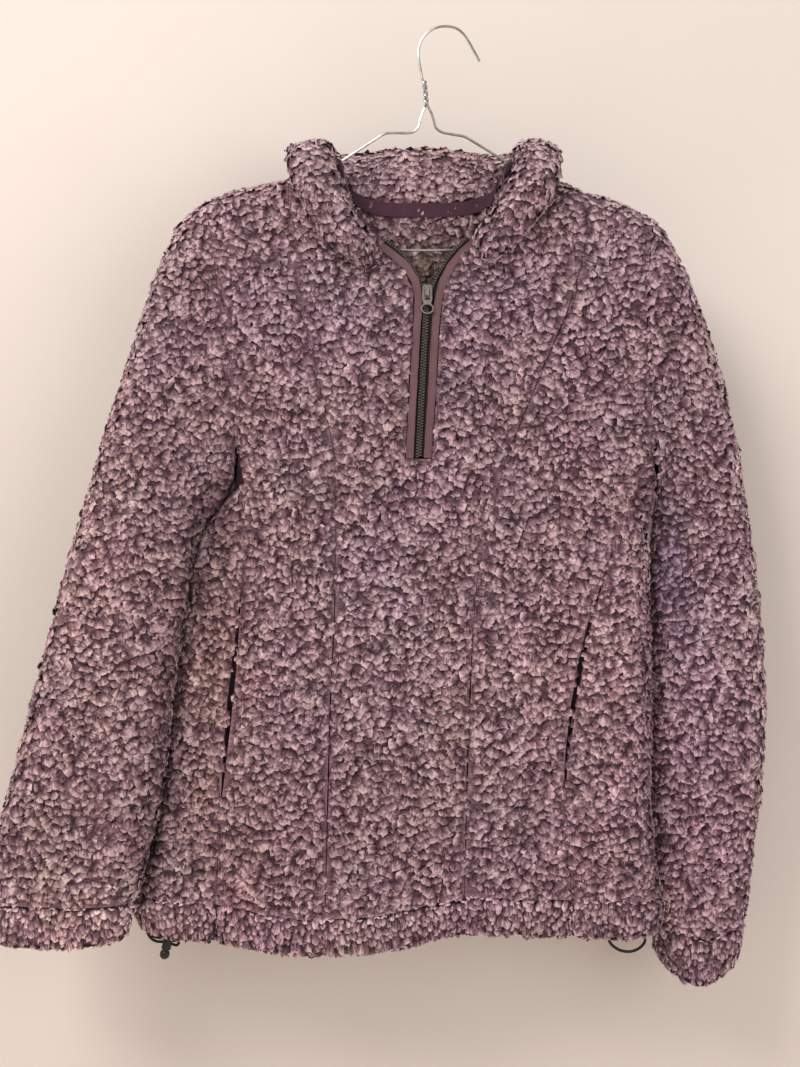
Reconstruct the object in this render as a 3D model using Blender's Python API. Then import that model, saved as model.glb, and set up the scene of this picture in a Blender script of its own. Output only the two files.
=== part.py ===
"""Zip fleece pullover, hung on a wire hanger.

Lengths are in millimetres here and in metres in the scene. +Z is up and the front of the
garment faces -Y. The origin is the inside of the hook's crest, where the hanger hangs. The
cloth is flat as it hangs, so its outlines are curves in the front view (X, Z), and its front
and back stand away from the plane Y = 0 with edges turned to a half round.
"""

import math

import bmesh
import bpy
from mathutils import Vector

MM = 0.001

# Cloth, pile included
WALL = 7.0
TURNED_WALL = 10.0
HALF_GAP = 0.15
TURN_RADIUS = 26.0
BODY_DEPTH = {-1: 26.0, 1: 24.0}
SLEEVE_DEPTH = 22.0
HEM_DEEP = 34.0
EDGE_STEPS = (0.0, 3.5, 13.0, 26.0)
NECK_STEPS = (0.0, 4.0, 12.0, 21.0, 30.0, 39.0, 50.0, 66.0)

# Collar: two plies, rolled outwards
COLLAR_WALL = 12.0
COLLAR_STEPS = 7
COLLAR_GAP = 1.0

# Zip
FACING_WIDE = 8.0
FACING_SUNK = 1.2
FACING_THICK = 2.0
CHAIN_Y = -20.8
BEAD_HALF = 1.45
BEAD_DEEP = 1.5
TAPE_WIDE = 6.0
TAPE_HALF = 0.4
PULL_LONG = 23.0
PULL_THICK = 1.6
PULL_AXIS = (-18.7, -26.8, -246.0)

# Hanger and cords
WIRE = 2.4
TWIST_RADIUS = 1.4
TWIST_TURNS = 2.0
CORD = 2.6
LOCK_TOP = (-253.6, -10.0, -830.5)
LOCK_LEAN = 13.0
LOCK_SLOT = (-11.0, -3.9)
LOCK_TRAVEL = 1.6

# How many rows and columns of cloth each stretch has
BODY_ROWS = 10
ARMHOLE_ROWS = 12
SIDE_COLUMNS = 4
SIDE_FRONT_COLUMNS = 6
CENTRE_COLUMNS = 8

# Outlines in the front view, as (x, z)
LEFT_SHOULDER = ((-104, -117), (-125, -129.5), (-150, -140), (-181, -147), (-206, -153.5), (-221, -161))
RIGHT_SHOULDER = ((62, -118), (85, -131.5), (113, -146), (145, -157), (170, -166), (187, -174))
LEFT_ARMHOLE = ((-194, -422), (-192, -380), (-196, -320), (-205, -240), (-221, -161))
RIGHT_ARMHOLE = ((191, -425), (187, -385), (181, -320), (180, -240), (187, -174))
LEFT_SIDE = (
    (-284, -824), (-285, -800), (-275, -758), (-262, -697), (-254, -629), (-247, -562),
    (-239, -520), (-230, -484), (-218, -456), (-204, -437), (-194, -422),
)
RIGHT_SIDE = (
    (198, -828), (200, -808), (191, -757), (188, -692), (190, -620), (187, -545),
    (186, -490), (185, -455), (191, -425),
)
# Sleeve sections from shoulder to cuff: their ends, how far their middle stands from Y = 0, and their sag
LEFT_SLEEVE = (
    dict(outer=(-241, -175), inner=(-201, -427), middle=-2, sag=0),
    dict(outer=(-263, -219), inner=(-212, -438), middle=-5, sag=0),
    dict(outer=(-285, -289), inner=(-224, -453), middle=-10, sag=0),
    dict(outer=(-308, -362), inner=(-232, -476), middle=-16, sag=0),
    dict(outer=(-333, -453), inner=(-238, -512), middle=-22, sag=0),
    dict(outer=(-357, -544), inner=(-244, -562), middle=-24, sag=0),
    dict(outer=(-380, -634), inner=(-249, -629), middle=-24, sag=0),
    dict(outer=(-399, -706), inner=(-257, -697), middle=-24, sag=0),
    dict(outer=(-413, -756), inner=(-271, -758), middle=-24, sag=1),
    dict(outer=(-415, -795), inner=(-281, -797), middle=-24, sag=2),
    dict(outer=(-409, -834), inner=(-291, -832), middle=-24, sag=3),
)
RIGHT_SLEEVE = (
    dict(outer=(203, -193), inner=(193.5, -434), middle=3, sag=0),
    dict(outer=(225, -233), inner=(193, -446), middle=8, sag=0),
    dict(outer=(245, -283), inner=(192, -460), middle=14, sag=0),
    dict(outer=(261, -334), inner=(191, -478), middle=19, sag=0),
    dict(outer=(275, -398), inner=(190, -506), middle=23, sag=0),
    dict(outer=(287, -472), inner=(187.5, -542), middle=25, sag=0),
    dict(outer=(296, -547), inner=(185.5, -593), middle=25, sag=0),
    dict(outer=(300, -622), inner=(185, -654), middle=25, sag=0),
    dict(outer=(297, -687), inner=(187, -711), middle=25, sag=0),
    dict(outer=(290, -753), inner=(190, -765), middle=27, sag=4),
    dict(outer=(281, -828), inner=(195, -824), middle=28, sag=15),
    dict(outer=(274, -864), inner=(195, -862), middle=28, sag=24),
)

LEFT_NECK = ((-64, -209), (-91, -178), (-102, -146), (-104, -117))
RIGHT_NECK = ((27, -205), (45, -176), (60, -146), (62, -118))
BACK_NECK = (
    (-104, -117), (-101, -134), (-88, -155), (-60, -163.5), (-21, -164), (16, -163.5), (43, -156),
    (58, -136), (62, -118),
)

LEFT_PRINCESS = ((-111, -809), (-106, -615), (-102, -525), (-102, -398))
LEFT_PRINCESS_TOP = ((-102, -398), (-120, -309), (-133, -255), (-142, -192), (-145, -141.6))
RIGHT_PRINCESS = ((15, -791), (20, -615), (29, -489), (53, -398))
RIGHT_PRINCESS_TOP = ((53, -398), (89, -309), (112, -255), (125, -200), (128, -151.6))
LEFT_POCKET_SEAM = (
    (-210, -796), (-204, -697), (-189, -543), (-184, -490), (-182, -450), (-184, -415), (-191.9, -381),
)
RIGHT_POCKET_SEAM = ((112, -793), (105, -697), (123, -570), (148, -487), (168, -430), (187, -384.1))
LEFT_OF_ZIP = ((-54, -806), (-46, -600), (-38.7, -398))
RIGHT_OF_ZIP = ((-30, -800), (-22, -600), (-14.5, -398))
LEFT_SLIT = ((-38.7, -398), (-35.5, -340), (-32.4, -283), (-31.2, -245), (-43.2, -224), (-64, -209))
RIGHT_SLIT = ((-14.5, -398), (-10.5, -340), (-7.4, -283), (-2.5, -245), (9.6, -221), (27, -205))
HEM_LINE = (
    (-284, -824), (-262, -831), (-205, -835), (-133, -847), (-61, -844), (15, -829),
    (101, -830), (170, -832), (198, -828),
)

# Folds: a line in the front view, half its width, and its height (troughs are below zero)
FRONT_FOLDS = (
    dict(top=(-247, -235), foot=(-330, -800), half_width=17, high=6),
    dict(top=(-215, -300), foot=(-265, -560), half_width=15, high=-3),
    dict(top=(198, -430), foot=(222, -545), half_width=15, high=-12),
    dict(top=(216, -400), foot=(252, -560), half_width=13, high=4),
    dict(top=(215, -520), foot=(228, -800), half_width=16, high=-3),
    dict(top=(-155, -330), foot=(-178, -560), half_width=16, high=-5),
    dict(top=(-150, -600), foot=(-165, -840), half_width=26, high=7),
    dict(top=(-103, -470), foot=(-110, -800), half_width=9, high=-3),
    dict(top=(-60, -560), foot=(-66, -840), half_width=24, high=5),
    dict(top=(24, -500), foot=(15, -800), half_width=10, high=-4),
    dict(top=(70, -560), foot=(62, -840), half_width=24, high=5),
    dict(top=(150, -430), foot=(122, -600), half_width=16, high=-6),
    dict(top=(150, -640), foot=(160, -830), half_width=18, high=5),
    dict(top=(-120, -200), foot=(-104, -400), half_width=14, high=-3),
    dict(top=(118, -220), foot=(60, -390), half_width=12, high=-4),
    dict(top=(-60, -260), foot=(-90, -420), half_width=24, high=4),
    dict(top=(30, -260), foot=(20, -420), half_width=22, high=4),
)
BACK_FOLDS = (
    dict(top=(-110, -230), foot=(-170, -560), half_width=22, high=5),
    dict(top=(70, -230), foot=(140, -560), half_width=22, high=5),
    dict(top=(-30, -420), foot=(-36, -840), half_width=30, high=6),
    dict(top=(-140, -560), foot=(-180, -840), half_width=24, high=-5),
    dict(top=(80, -540), foot=(105, -830), half_width=26, high=-5),
    dict(top=(-270, -280), foot=(-335, -760), half_width=20, high=4),
    dict(top=(225, -300), foot=(245, -780), half_width=20, high=4),
)


def mixed(a, b, share):
    """The tuple a share of the way from a to b."""
    return tuple(p + (q - p) * share for p, q in zip(a, b))


def lengths(points):
    """The length along the points up to each of them."""
    total = [0.0]
    for a, b in zip(points, points[1:]):
        total.append(total[-1] + math.dist(a, b))
    return total


def smooth(points, step=4.0):
    """A smooth curve through the points, as points about a step apart."""
    curve = []
    count = len(points)
    for i in range(count - 1):
        a, b = points[i], points[i + 1]
        before = points[i - 1] if i else mixed(b, a, 2)
        after = points[i + 2] if i + 2 < count else mixed(a, b, 2)
        chord = math.dist(a, b)
        lead = chord / (math.dist(before, a) + chord)
        trail = chord / (math.dist(b, after) + chord)
        slope_a = [lead * (q - p) for p, q in zip(before, b)]
        slope_b = [trail * (q - p) for p, q in zip(a, after)]
        steps = max(2, round(chord / step))
        for k in range(steps):
            t = k / steps
            h = (2 * t**3 - 3 * t**2 + 1, t**3 - 2 * t**2 + t, 3 * t**2 - 2 * t**3, t**3 - t**2)
            curve.append(tuple(
                h[0] * p + h[1] * m + h[2] * q + h[3] * n
                for p, m, q, n in zip(a, slope_a, b, slope_b)
            ))
    curve.append(tuple(points[-1]))
    return curve


def along(curve, distances):
    """The points of the curve at these distances from its start."""
    total = lengths(curve)
    found = []
    for distance in distances:
        i = 0
        while i < len(curve) - 2 and total[i + 1] < distance:
            i += 1
        found.append(mixed(curve[i], curve[i + 1], (distance - total[i]) / (total[i + 1] - total[i])))
    return found


def even(curve, count):
    """The curve as this many equal stretches."""
    whole = lengths(curve)[-1]
    return along(curve, [whole * i / count for i in range(count + 1)])


def crowded(curve, count, start=True, end=True):
    """The curve as this many stretches, short ones where the cloth turns over an edge."""
    whole = lengths(curve)[-1]
    head = list(EDGE_STEPS) if start else [0.0]
    tail = [whole - d for d in reversed(EDGE_STEPS)] if end else [whole]
    inner = count + 1 - len(head) - len(tail)
    span = tail[0] - head[-1]
    middle = [head[-1] + span * (i + 1) / (inner + 1) for i in range(inner)]
    return along(curve, head + middle + tail)


class Edge:
    """An outline that the cloth turns over, with the cloth on one side of it in the front view."""

    def __init__(self, points, cloth_on_left):
        self.points = smooth(points)
        self.sign = 1 if cloth_on_left else -1

    def nearest(self, x, z):
        """The distance to the edge, and the unit vector away from it into the cloth."""
        best = None
        for (ax, az), (bx, bz) in zip(self.points, self.points[1:]):
            dx, dz = bx - ax, bz - az
            run = dx * dx + dz * dz
            t = min(1.0, max(0.0, ((x - ax) * dx + (z - az) * dz) / run))
            px, pz = x - ax - t * dx, z - az - t * dz
            distance = math.hypot(px, pz)
            if best is None or distance < best[0] - 1e-9:
                best = (distance, px, pz, dx / math.sqrt(run), dz / math.sqrt(run))
        distance, px, pz, dx, dz = best
        if distance > 1e-3:
            return distance, px / distance, pz / distance
        return 0.0, -self.sign * dz, self.sign * dx


def ends(sections, which):
    """One end of every section of a sleeve."""
    return tuple(section[which] for section in sections)


LEFT_TOP = Edge(LEFT_SHOULDER + ends(LEFT_SLEEVE, "outer"), True)
RIGHT_TOP = Edge(RIGHT_SHOULDER + ends(RIGHT_SLEEVE, "outer"), False)
BODY_EDGES = (LEFT_TOP, RIGHT_TOP, Edge(LEFT_SIDE, False), Edge(RIGHT_SIDE, True))
LEFT_SLEEVE_EDGES = (LEFT_TOP, Edge((LEFT_ARMHOLE[0],) + ends(LEFT_SLEEVE, "inner"), False))
RIGHT_SLEEVE_EDGES = (RIGHT_TOP, Edge((RIGHT_ARMHOLE[0],) + ends(RIGHT_SLEEVE, "inner"), True))
ARMPITS = (LEFT_ARMHOLE[0], RIGHT_ARMHOLE[0])


def fold_height(x, z, side):
    """How far the folds push the cloth out at this place."""
    height = 0.0
    for fold in FRONT_FOLDS if side < 0 else BACK_FOLDS:
        (tx, tz), (fx, fz) = fold["top"], fold["foot"]
        dx, dz = fx - tx, fz - tz
        run = dx * dx + dz * dz
        t = ((x - tx) * dx + (z - tz) * dz) / run
        off = abs((x - tx) * dz - (z - tz) * dx) / math.sqrt(run)
        fade = math.sin(math.pi * min(1.0, max(0.0, (t + 0.15) / 1.3)))
        height += fold["high"] * fade * math.exp(-((off / fold["half_width"]) ** 2))
    return height


def cloth(x, z, side, edges=BODY_EDGES, depth=None, middle=0.0):
    """The outer point of the cloth over (x, z), and the unit vector from there into the cloth."""
    depth = depth or BODY_DEPTH[side]
    distance, gx, gz = min(edge.nearest(x, z) for edge in edges)
    if min(math.dist((x, z), pit) for pit in ARMPITS) < 0.01:
        distance, gx, gz = 0.0, 0.0, 1.0
    turn = math.acos(1 - min(distance, TURN_RADIUS) / TURN_RADIUS)
    out, flat = math.sin(turn), math.cos(turn)
    y = middle + side * out * (depth + fold_height(x, z, side))
    inward = Vector((gx * flat / TURN_RADIUS, -side * out / depth, gz * flat / TURN_RADIUS))
    return Vector((x, y, z)), inward.normalized()


class Net:
    """Cloth as a net of outer points, each with the way into the cloth, that becomes a closed wall."""

    def __init__(self):
        self.points = {}
        self.quads = []
        self.slack = {}

    def add(self, key, point, inward):
        self.points[key] = (point, inward)
        return key

    def rows(self, rows, tag="", closed=False):
        """Adds rows of (point, inward) pairs, joined by quads."""
        for r, row in enumerate(rows):
            for c, (point, inward) in enumerate(row):
                self.add((tag, r, c), point, inward)
        wide = len(rows[0])
        for r in range(len(rows) - 1):
            for c in range(wide if closed else wide - 1):
                d = (c + 1) % wide
                self.quads.append(((tag, r, c), (tag, r, d), (tag, r + 1, d), (tag, r + 1, c)))
        return self

    def borders(self):
        """Each border edge with its quad."""
        seen = {}
        for quad in self.quads:
            for a, b in zip(quad, quad[1:] + quad[:1]):
                seen.setdefault(frozenset((a, b)), []).append((a, b, quad))
        return [uses[0] for uses in seen.values() if len(uses) == 1]

    def part_at_seams(self, borders, half_gap):
        """Draws the border in by half a seam's gap, or more where the net has slack."""
        ways = {}
        for a, b, quad in borders:
            pa, pb = self.points[a][0], self.points[b][0]
            centre = sum((self.points[k][0] for k in quad), Vector()) / 4
            line = (pb - pa).normalized()
            way = centre - pa
            way = (way - line * way.dot(line)).normalized()
            ways.setdefault(a, []).append(way)
            ways.setdefault(b, []).append(way)
        moved = {}
        for key, found in ways.items():
            share = (half_gap + self.slack.get(key, 0.0)) / max(0.15, 1 + found[0].dot(found[-1]))
            moved[key] = (found[0] + found[-1]) * share
        for key, shift in moved.items():
            point, inward = self.points[key]
            self.points[key] = (point + shift, inward)

    def solid(self, name, thick, finish, half_gap=HALF_GAP):
        """Makes the net a wall of this thickness."""
        borders = self.borders()
        self.part_at_seams(borders, half_gap)
        mesh = bmesh.new()
        outer, inner = {}, {}
        for key, (point, inward) in self.points.items():
            outer[key] = mesh.verts.new(point * MM)
            inner[key] = mesh.verts.new((point + inward * thick) * MM)
        for quad in self.quads:
            mesh.faces.new([outer[k] for k in quad])
            mesh.faces.new([inner[k] for k in reversed(quad)])
        for a, b, _ in borders:
            corners = [outer[b], outer[a], inner[a], inner[b]]
            if outer[a].co.dot(Vector((0.4, 0.2, 0.9))) > outer[b].co.dot(Vector((0.4, 0.2, 0.9))):
                corners = corners[1:] + corners[:1]
            mesh.faces.new((corners[0], corners[1], corners[2]))
            mesh.faces.new((corners[0], corners[2], corners[3]))
        return finished(name, mesh, finish)


def material(name, colour, roughness, metallic=0.0):
    made = bpy.data.materials.new(name)
    made.use_nodes = True
    shader = made.node_tree.nodes["Principled BSDF"]
    shader.inputs["Base Color"].default_value = (*colour, 1.0)
    shader.inputs["Roughness"].default_value = roughness
    shader.inputs["Metallic"].default_value = metallic
    return made


def finished(name, mesh, finish):
    """Makes the object, with its faces turned outwards and its round parts shaded smooth."""
    mesh.normal_update()
    bmesh.ops.recalc_face_normals(mesh, faces=mesh.faces)
    data = bpy.data.meshes.new(name)
    mesh.to_mesh(data)
    mesh.free()
    data.materials.append(finish)
    data.shade_smooth()
    data.set_sharp_from_angle(angle=math.radians(50))
    made = bpy.data.objects.new(name, data)
    bpy.context.scene.collection.objects.link(made)
    return made


def patch(bottom, top, left, right, side, edges=BODY_EDGES):
    """Rows of cloth between four outlines that meet at their ends."""
    def shares(points):
        total = lengths(points)
        return [d / total[-1] for d in total]

    across_bottom, across_top, up_left, up_right = map(shares, (bottom, top, left, right))
    rows = []
    for r in range(len(left)):
        row = []
        for c in range(len(bottom)):
            u = v = 0.5
            for _ in range(3):
                v = up_left[r] + (up_right[r] - up_left[r]) * u
                u = across_bottom[c] + (across_top[c] - across_bottom[c]) * v
            found = []
            for k in (0, 1):
                lines = (1 - v) * bottom[c][k] + v * top[c][k] + (1 - u) * left[r][k] + u * right[r][k]
                corners = (1 - v) * ((1 - u) * bottom[0][k] + u * bottom[-1][k])
                corners += v * ((1 - u) * top[0][k] + u * top[-1][k])
                found.append(lines - corners)
            row.append(cloth(*found, side, edges))
        rows.append(row)
    return rows


def hem_at(x):
    """The height of the hem's lower edge."""
    line = smooth(HEM_LINE)
    for (ax, az), (bx, bz) in zip(line, line[1:]):
        if ax <= x <= bx:
            return az + (bz - az) * (x - ax) / (bx - ax)
    return line[0][1] if x < line[0][0] else line[-1][1]


class Outlines:
    """The seams of the garment as lists of points, so that pieces which meet share them."""

    def __init__(self):
        self.left_armhole = crowded(smooth(LEFT_ARMHOLE), ARMHOLE_ROWS)
        self.right_armhole = crowded(smooth(RIGHT_ARMHOLE), ARMHOLE_ROWS)
        self.left_armhole[SIDE_COLUMNS] = LEFT_POCKET_SEAM[-1]
        self.right_armhole[SIDE_COLUMNS] = RIGHT_POCKET_SEAM[-1]
        self.left_side = self.above_band(LEFT_SIDE)
        self.right_side = self.above_band(RIGHT_SIDE)
        self.left_pocket = self.from_band(LEFT_POCKET_SEAM)
        self.right_pocket = self.from_band(RIGHT_POCKET_SEAM)
        upper_rows = ARMHOLE_ROWS - SIDE_COLUMNS
        self.left_princess = self.from_band(LEFT_PRINCESS)
        self.left_princess += crowded(smooth(LEFT_PRINCESS_TOP), upper_rows, start=False)[1:]
        self.right_princess = self.from_band(RIGHT_PRINCESS)
        self.right_princess += crowded(smooth(RIGHT_PRINCESS_TOP), upper_rows, start=False)[1:]
        self.left_of_zip = self.from_band(LEFT_OF_ZIP) + even(smooth(LEFT_SLIT), upper_rows)[1:]
        self.right_of_zip = self.from_band(RIGHT_OF_ZIP) + even(smooth(RIGHT_SLIT), upper_rows)[1:]
        left = LEFT_TOP.points[: LEFT_TOP.points.index(LEFT_SHOULDER[-1]) + 1]
        right = RIGHT_TOP.points[: RIGHT_TOP.points.index(RIGHT_SHOULDER[-1]) + 1]
        self.left_shoulder = self.split_at(left, self.left_princess[-1][0])
        self.right_shoulder = self.split_at(right, self.right_princess[-1][0])
        self.left_princess[-1] = self.left_shoulder[2]
        self.right_princess[-1] = self.right_shoulder[2]

    @staticmethod
    def above_band(outline):
        """A side edge from the top of the hem band up."""
        curve = smooth(outline)
        return even_from(curve, HEM_DEEP, BODY_ROWS)

    @staticmethod
    def from_band(outline):
        """A seam that starts at the top of the hem band."""
        foot = (outline[0][0], hem_at(outline[0][0]) + HEM_DEEP)
        return even(smooth((foot,) + outline[1:]), BODY_ROWS)

    @staticmethod
    def split_at(curve, x):
        """The shoulder from the neck out, split where the princess seam meets it."""
        total = lengths(curve)
        cut = next(i for i in range(1, len(curve)) if abs(curve[i][0] - curve[0][0]) >= abs(x - curve[0][0]))
        near = along(curve, [total[cut] * i / 2 for i in range(3)])
        stretch = (total[-1] - total[cut]) / SIDE_FRONT_COLUMNS
        far = along(curve, [total[cut] + stretch * i for i in range(SIDE_FRONT_COLUMNS + 1)])
        return near + far[1:]


def even_from(curve, start, count):
    """The curve from a distance along it to its end, as equal stretches."""
    whole = lengths(curve)[-1]
    return along(curve, [start + (whole - start) * i / count for i in range(count + 1)])


SEAMS = Outlines()


def band_line(start, end, count, crowded_start=False, crowded_end=False):
    """The top of the hem band between two points of it, in columns."""
    xs = [start[0] + (end[0] - start[0]) * i / 60 for i in range(61)]
    line = [(x, hem_at(x) + HEM_DEEP) for x in xs]
    line[0], line[-1] = start, end
    if crowded_start or crowded_end:
        return crowded(line, count, crowded_start, crowded_end)
    return even(line, count)


def front_lines():
    """The top of the hem band under each front panel, from left to right."""
    s = SEAMS
    return {
        "side_left": band_line(s.left_side[0], s.left_pocket[0], SIDE_COLUMNS, crowded_start=True),
        "front_left": band_line(s.left_pocket[0], s.left_princess[0], SIDE_FRONT_COLUMNS),
        "centre_left": band_line(s.left_princess[0], s.left_of_zip[0], CENTRE_COLUMNS),
        "centre": [s.left_of_zip[0], s.right_of_zip[0]],
        "centre_right": band_line(s.right_of_zip[0], s.right_princess[0], CENTRE_COLUMNS),
        "front_right": band_line(s.right_princess[0], s.right_pocket[0], SIDE_FRONT_COLUMNS),
        "side_right": band_line(s.right_pocket[0], s.right_side[0], SIDE_COLUMNS, crowded_end=True),
    }


# How far each lip of a pocket's slit gapes, by row above the hem band
POCKET_ROWS = {3: 1.3, 4: 2.5, 5: 2.5, 6: 1.3}


def side_panels(fleece):
    """The panel between each pocket seam and the side."""
    lines = front_lines()
    s = SEAMS
    left = patch(lines["side_left"], s.left_armhole[: SIDE_COLUMNS + 1], s.left_side, s.left_pocket, -1)
    right = patch(
        lines["side_right"], s.right_armhole[: SIDE_COLUMNS + 1][::-1], s.right_pocket, s.right_side, -1
    )
    for name, rows, column in (("side_panel_left", left, SIDE_COLUMNS), ("side_panel_right", right, 0)):
        net = Net().rows(rows)
        net.slack = {("", row, column): slack for row, slack in POCKET_ROWS.items()}
        net.solid(name, WALL, fleece)


def side_front_rows():
    """The rows of the panels between the pocket seams and the princess seams."""
    lines = front_lines()
    s = SEAMS
    left = patch(
        lines["front_left"],
        s.left_shoulder[2:][::-1],
        s.left_pocket + s.left_armhole[SIDE_COLUMNS + 1 :],
        s.left_princess,
        -1,
    )
    right = patch(
        lines["front_right"],
        s.right_shoulder[2:],
        s.right_princess,
        s.right_pocket + s.right_armhole[SIDE_COLUMNS + 1 :],
        -1,
    )
    return left, right


def side_fronts(fleece):
    """The panel between each pocket seam and the princess seam."""
    left, right = side_front_rows()
    for name, rows, column in (("front_side_left", left, 0), ("front_side_right", right, SIDE_FRONT_COLUMNS)):
        net = Net().rows(rows)
        net.slack = {("", row, column): slack for row, slack in POCKET_ROWS.items()}
        net.solid(name, WALL, fleece)


def centre_front(fleece):
    """The middle of the front, slit for the zip from the neck down."""
    lines = front_lines()
    s = SEAMS
    neck_steps = CENTRE_COLUMNS - 2
    left_neck = crowded(smooth(LEFT_NECK), neck_steps, start=False)
    right_neck = crowded(smooth(RIGHT_NECK), neck_steps, start=False)
    left_top = s.left_shoulder[:3][::-1] + left_neck[::-1][1:]
    right_top = right_neck + s.right_shoulder[1:3]
    left = patch(lines["centre_left"], left_top, s.left_princess, s.left_of_zip, -1)
    right = patch(lines["centre_right"], right_top, s.right_of_zip, s.right_princess, -1)
    net = Net().rows(left, "left").rows(right, "right")
    for r in range(BODY_ROWS):
        net.quads.append((
            ("left", r, CENTRE_COLUMNS), ("right", r, 0), ("right", r + 1, 0), ("left", r + 1, CENTRE_COLUMNS),
        ))
    net.solid("front_centre", WALL, fleece)


def back_top():
    s = SEAMS
    curve = smooth(BACK_NECK)
    whole = lengths(curve)[-1]
    steps = list(NECK_STEPS) + [whole / 2] + [whole - d for d in reversed(NECK_STEPS)]
    neck = along(curve, steps)
    return s.left_shoulder[::-1] + neck[1:-1] + s.right_shoulder


def back_foot():
    return band_line(SEAMS.left_side[0], SEAMS.right_side[0], len(back_top()) - 1, True, True)


def back(fleece):
    s = SEAMS
    left = s.left_side + s.left_armhole[1:]
    right = s.right_side + s.right_armhole[1:]
    Net().rows(patch(back_foot(), back_top(), left, right, 1)).solid("back", WALL, fleece)


def hem_band(name, line, side, fleece):
    """A stretch of the turned hem below a line of its top edge."""
    ends = {SEAMS.left_side[0]: LEFT_SIDE[0], SEAMS.right_side[0]: RIGHT_SIDE[0]}
    foot = [ends.get(point, (point[0], hem_at(point[0]))) for point in line]
    rows = []
    for share in (0.0, 0.5, 1.0):
        rows.append([cloth(*mixed(a, b, share), side) for a, b in zip(line, foot)])
    Net().rows(rows).solid(name, TURNED_WALL, fleece)


def hem_bands(fleece):
    lines = front_lines()
    middle = lines["front_left"]
    for key in ("centre_left", "centre", "centre_right", "front_right"):
        middle = middle + lines[key][1:]
    hem_band("hem_band_left", lines["side_left"], -1, fleece)
    hem_band("hem_band_centre", middle, -1, fleece)
    hem_band("hem_band_right", lines["side_right"], -1, fleece)
    hem_band("hem_band_back", back_foot(), 1, fleece)


def sleeve_rings(armhole, sections, edges):
    """The rings of a sleeve, each from the underarm round its front and then its back."""
    rings = [[cloth(*point, side) for side, run in ((-1, armhole), (1, armhole[1:-1][::-1])) for point in run]]
    for s, section in enumerate(sections):
        low = mixed(section["inner"], section["outer"], 0.5)
        bend = ((low[0], low[1] - section["sag"]),) if section["sag"] else ()
        line = crowded(smooth((section["inner"],) + bend + (section["outer"],)), ARMHOLE_ROWS)
        share = min(1.0, (s + 1) / 6)
        ring = []
        for side, points in ((-1, line), (1, line[1:-1][::-1])):
            depth = BODY_DEPTH[side] + (SLEEVE_DEPTH - BODY_DEPTH[side]) * share
            ring += [cloth(*point, side, edges, depth, section["middle"]) for point in points]
        rings.append(ring)
    return rings


def sleeves(fleece):
    """Each sleeve is a tube with a turned band at its end."""
    for name, armhole, sections, edges in (
        ("left", SEAMS.left_armhole, LEFT_SLEEVE, LEFT_SLEEVE_EDGES),
        ("right", SEAMS.right_armhole, RIGHT_SLEEVE, RIGHT_SLEEVE_EDGES),
    ):
        rings = sleeve_rings(armhole, sections, edges)
        Net().rows(rings[:-1], closed=True).solid("sleeve_" + name, WALL, fleece)
        between = [
            (a[0].lerp(b[0], 0.5), a[1].lerp(b[1], 0.5).normalized()) for a, b in zip(rings[-2], rings[-1])
        ]
        cuff = Net().rows([rings[-2], between, rings[-1]], closed=True)
        cuff.solid("cuff_" + name, TURNED_WALL, fleece, 0.4)


# Round the neck: the way the collar leaves the seam, the degrees it rolls, its height, and its slant to the front
LEFT_COLLAR = (
    dict(leaves=(0, -1, 0), turn=170, high=24, slant=12),
    dict(leaves=(-0.03, -1, 0.05), turn=166, high=38, slant=8),
    dict(leaves=(-0.1, -0.95, 0.2), turn=152, high=45, slant=3),
    dict(leaves=(-0.4, -0.8, 0.4), turn=132, high=46, slant=0),
    dict(leaves=(-0.72, -0.1, 0.69), turn=134, high=44, slant=0),
)
BACK_COLLAR = (
    dict(leaves=(-0.72, -0.1, 0.69), turn=134, high=44, slant=0),
    dict(leaves=(-0.14, 0.26, 0.95), turn=64, high=60, slant=0),
    dict(leaves=(0, 0.12, 1), turn=42, high=68, slant=0),
    dict(leaves=(0, 0.06, 1), turn=36, high=67, slant=0),
    dict(leaves=(0, 0.12, 1), turn=42, high=68, slant=0),
    dict(leaves=(0.14, 0.26, 0.95), turn=64, high=60, slant=0),
    dict(leaves=(0.68, -0.1, 0.73), turn=134, high=44, slant=0),
)
RIGHT_COLLAR = (
    dict(leaves=(0.68, -0.1, 0.73), turn=134, high=44, slant=0),
    dict(leaves=(0.4, -0.8, 0.4), turn=132, high=46, slant=0),
    dict(leaves=(0.1, -0.95, 0.2), turn=152, high=45, slant=-3),
    dict(leaves=(0.03, -1, 0.05), turn=166, high=38, slant=-8),
    dict(leaves=(0, -1, 0), turn=170, high=24, slant=-12),
)
COLLAR_RUNS = (
    (LEFT_NECK, LEFT_COLLAR, -1, 10),
    (BACK_NECK, BACK_COLLAR, 1, 18),
    (RIGHT_NECK[::-1], RIGHT_COLLAR, -1, 10),
)
NECK_MIDDLE = Vector((-21, 0, -150))


def seam_points(outline, side, count):
    """Points of a seam, spread evenly over the cloth as it curves."""
    flat = smooth(outline, 1.5)
    whole = lengths([tuple(cloth(*point, side)[0]) for point in flat])
    found = []
    for k in range(count + 1):
        distance = whole[-1] * k / count
        i = 0
        while i < len(flat) - 2 and whole[i + 1] < distance:
            i += 1
        found.append(mixed(flat[i], flat[i + 1], (distance - whole[i]) / (whole[i + 1] - whole[i])))
    return found


def between_rows(rows, share):
    """The values of a table this far down it, on a smooth curve through its rows."""
    values = [(i * 100.0, *row["leaves"], row["turn"], row["high"], row["slant"]) for i, row in enumerate(rows)]
    curve = smooth(values, 10.0)
    at = share * 100.0 * (len(rows) - 1)
    for a, b in zip(curve, curve[1:]):
        if at <= b[0] + 1e-6:
            return mixed(a, b, (at - a[0]) / (b[0] - a[0]))[1:]
    return curve[-1][1:]


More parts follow.
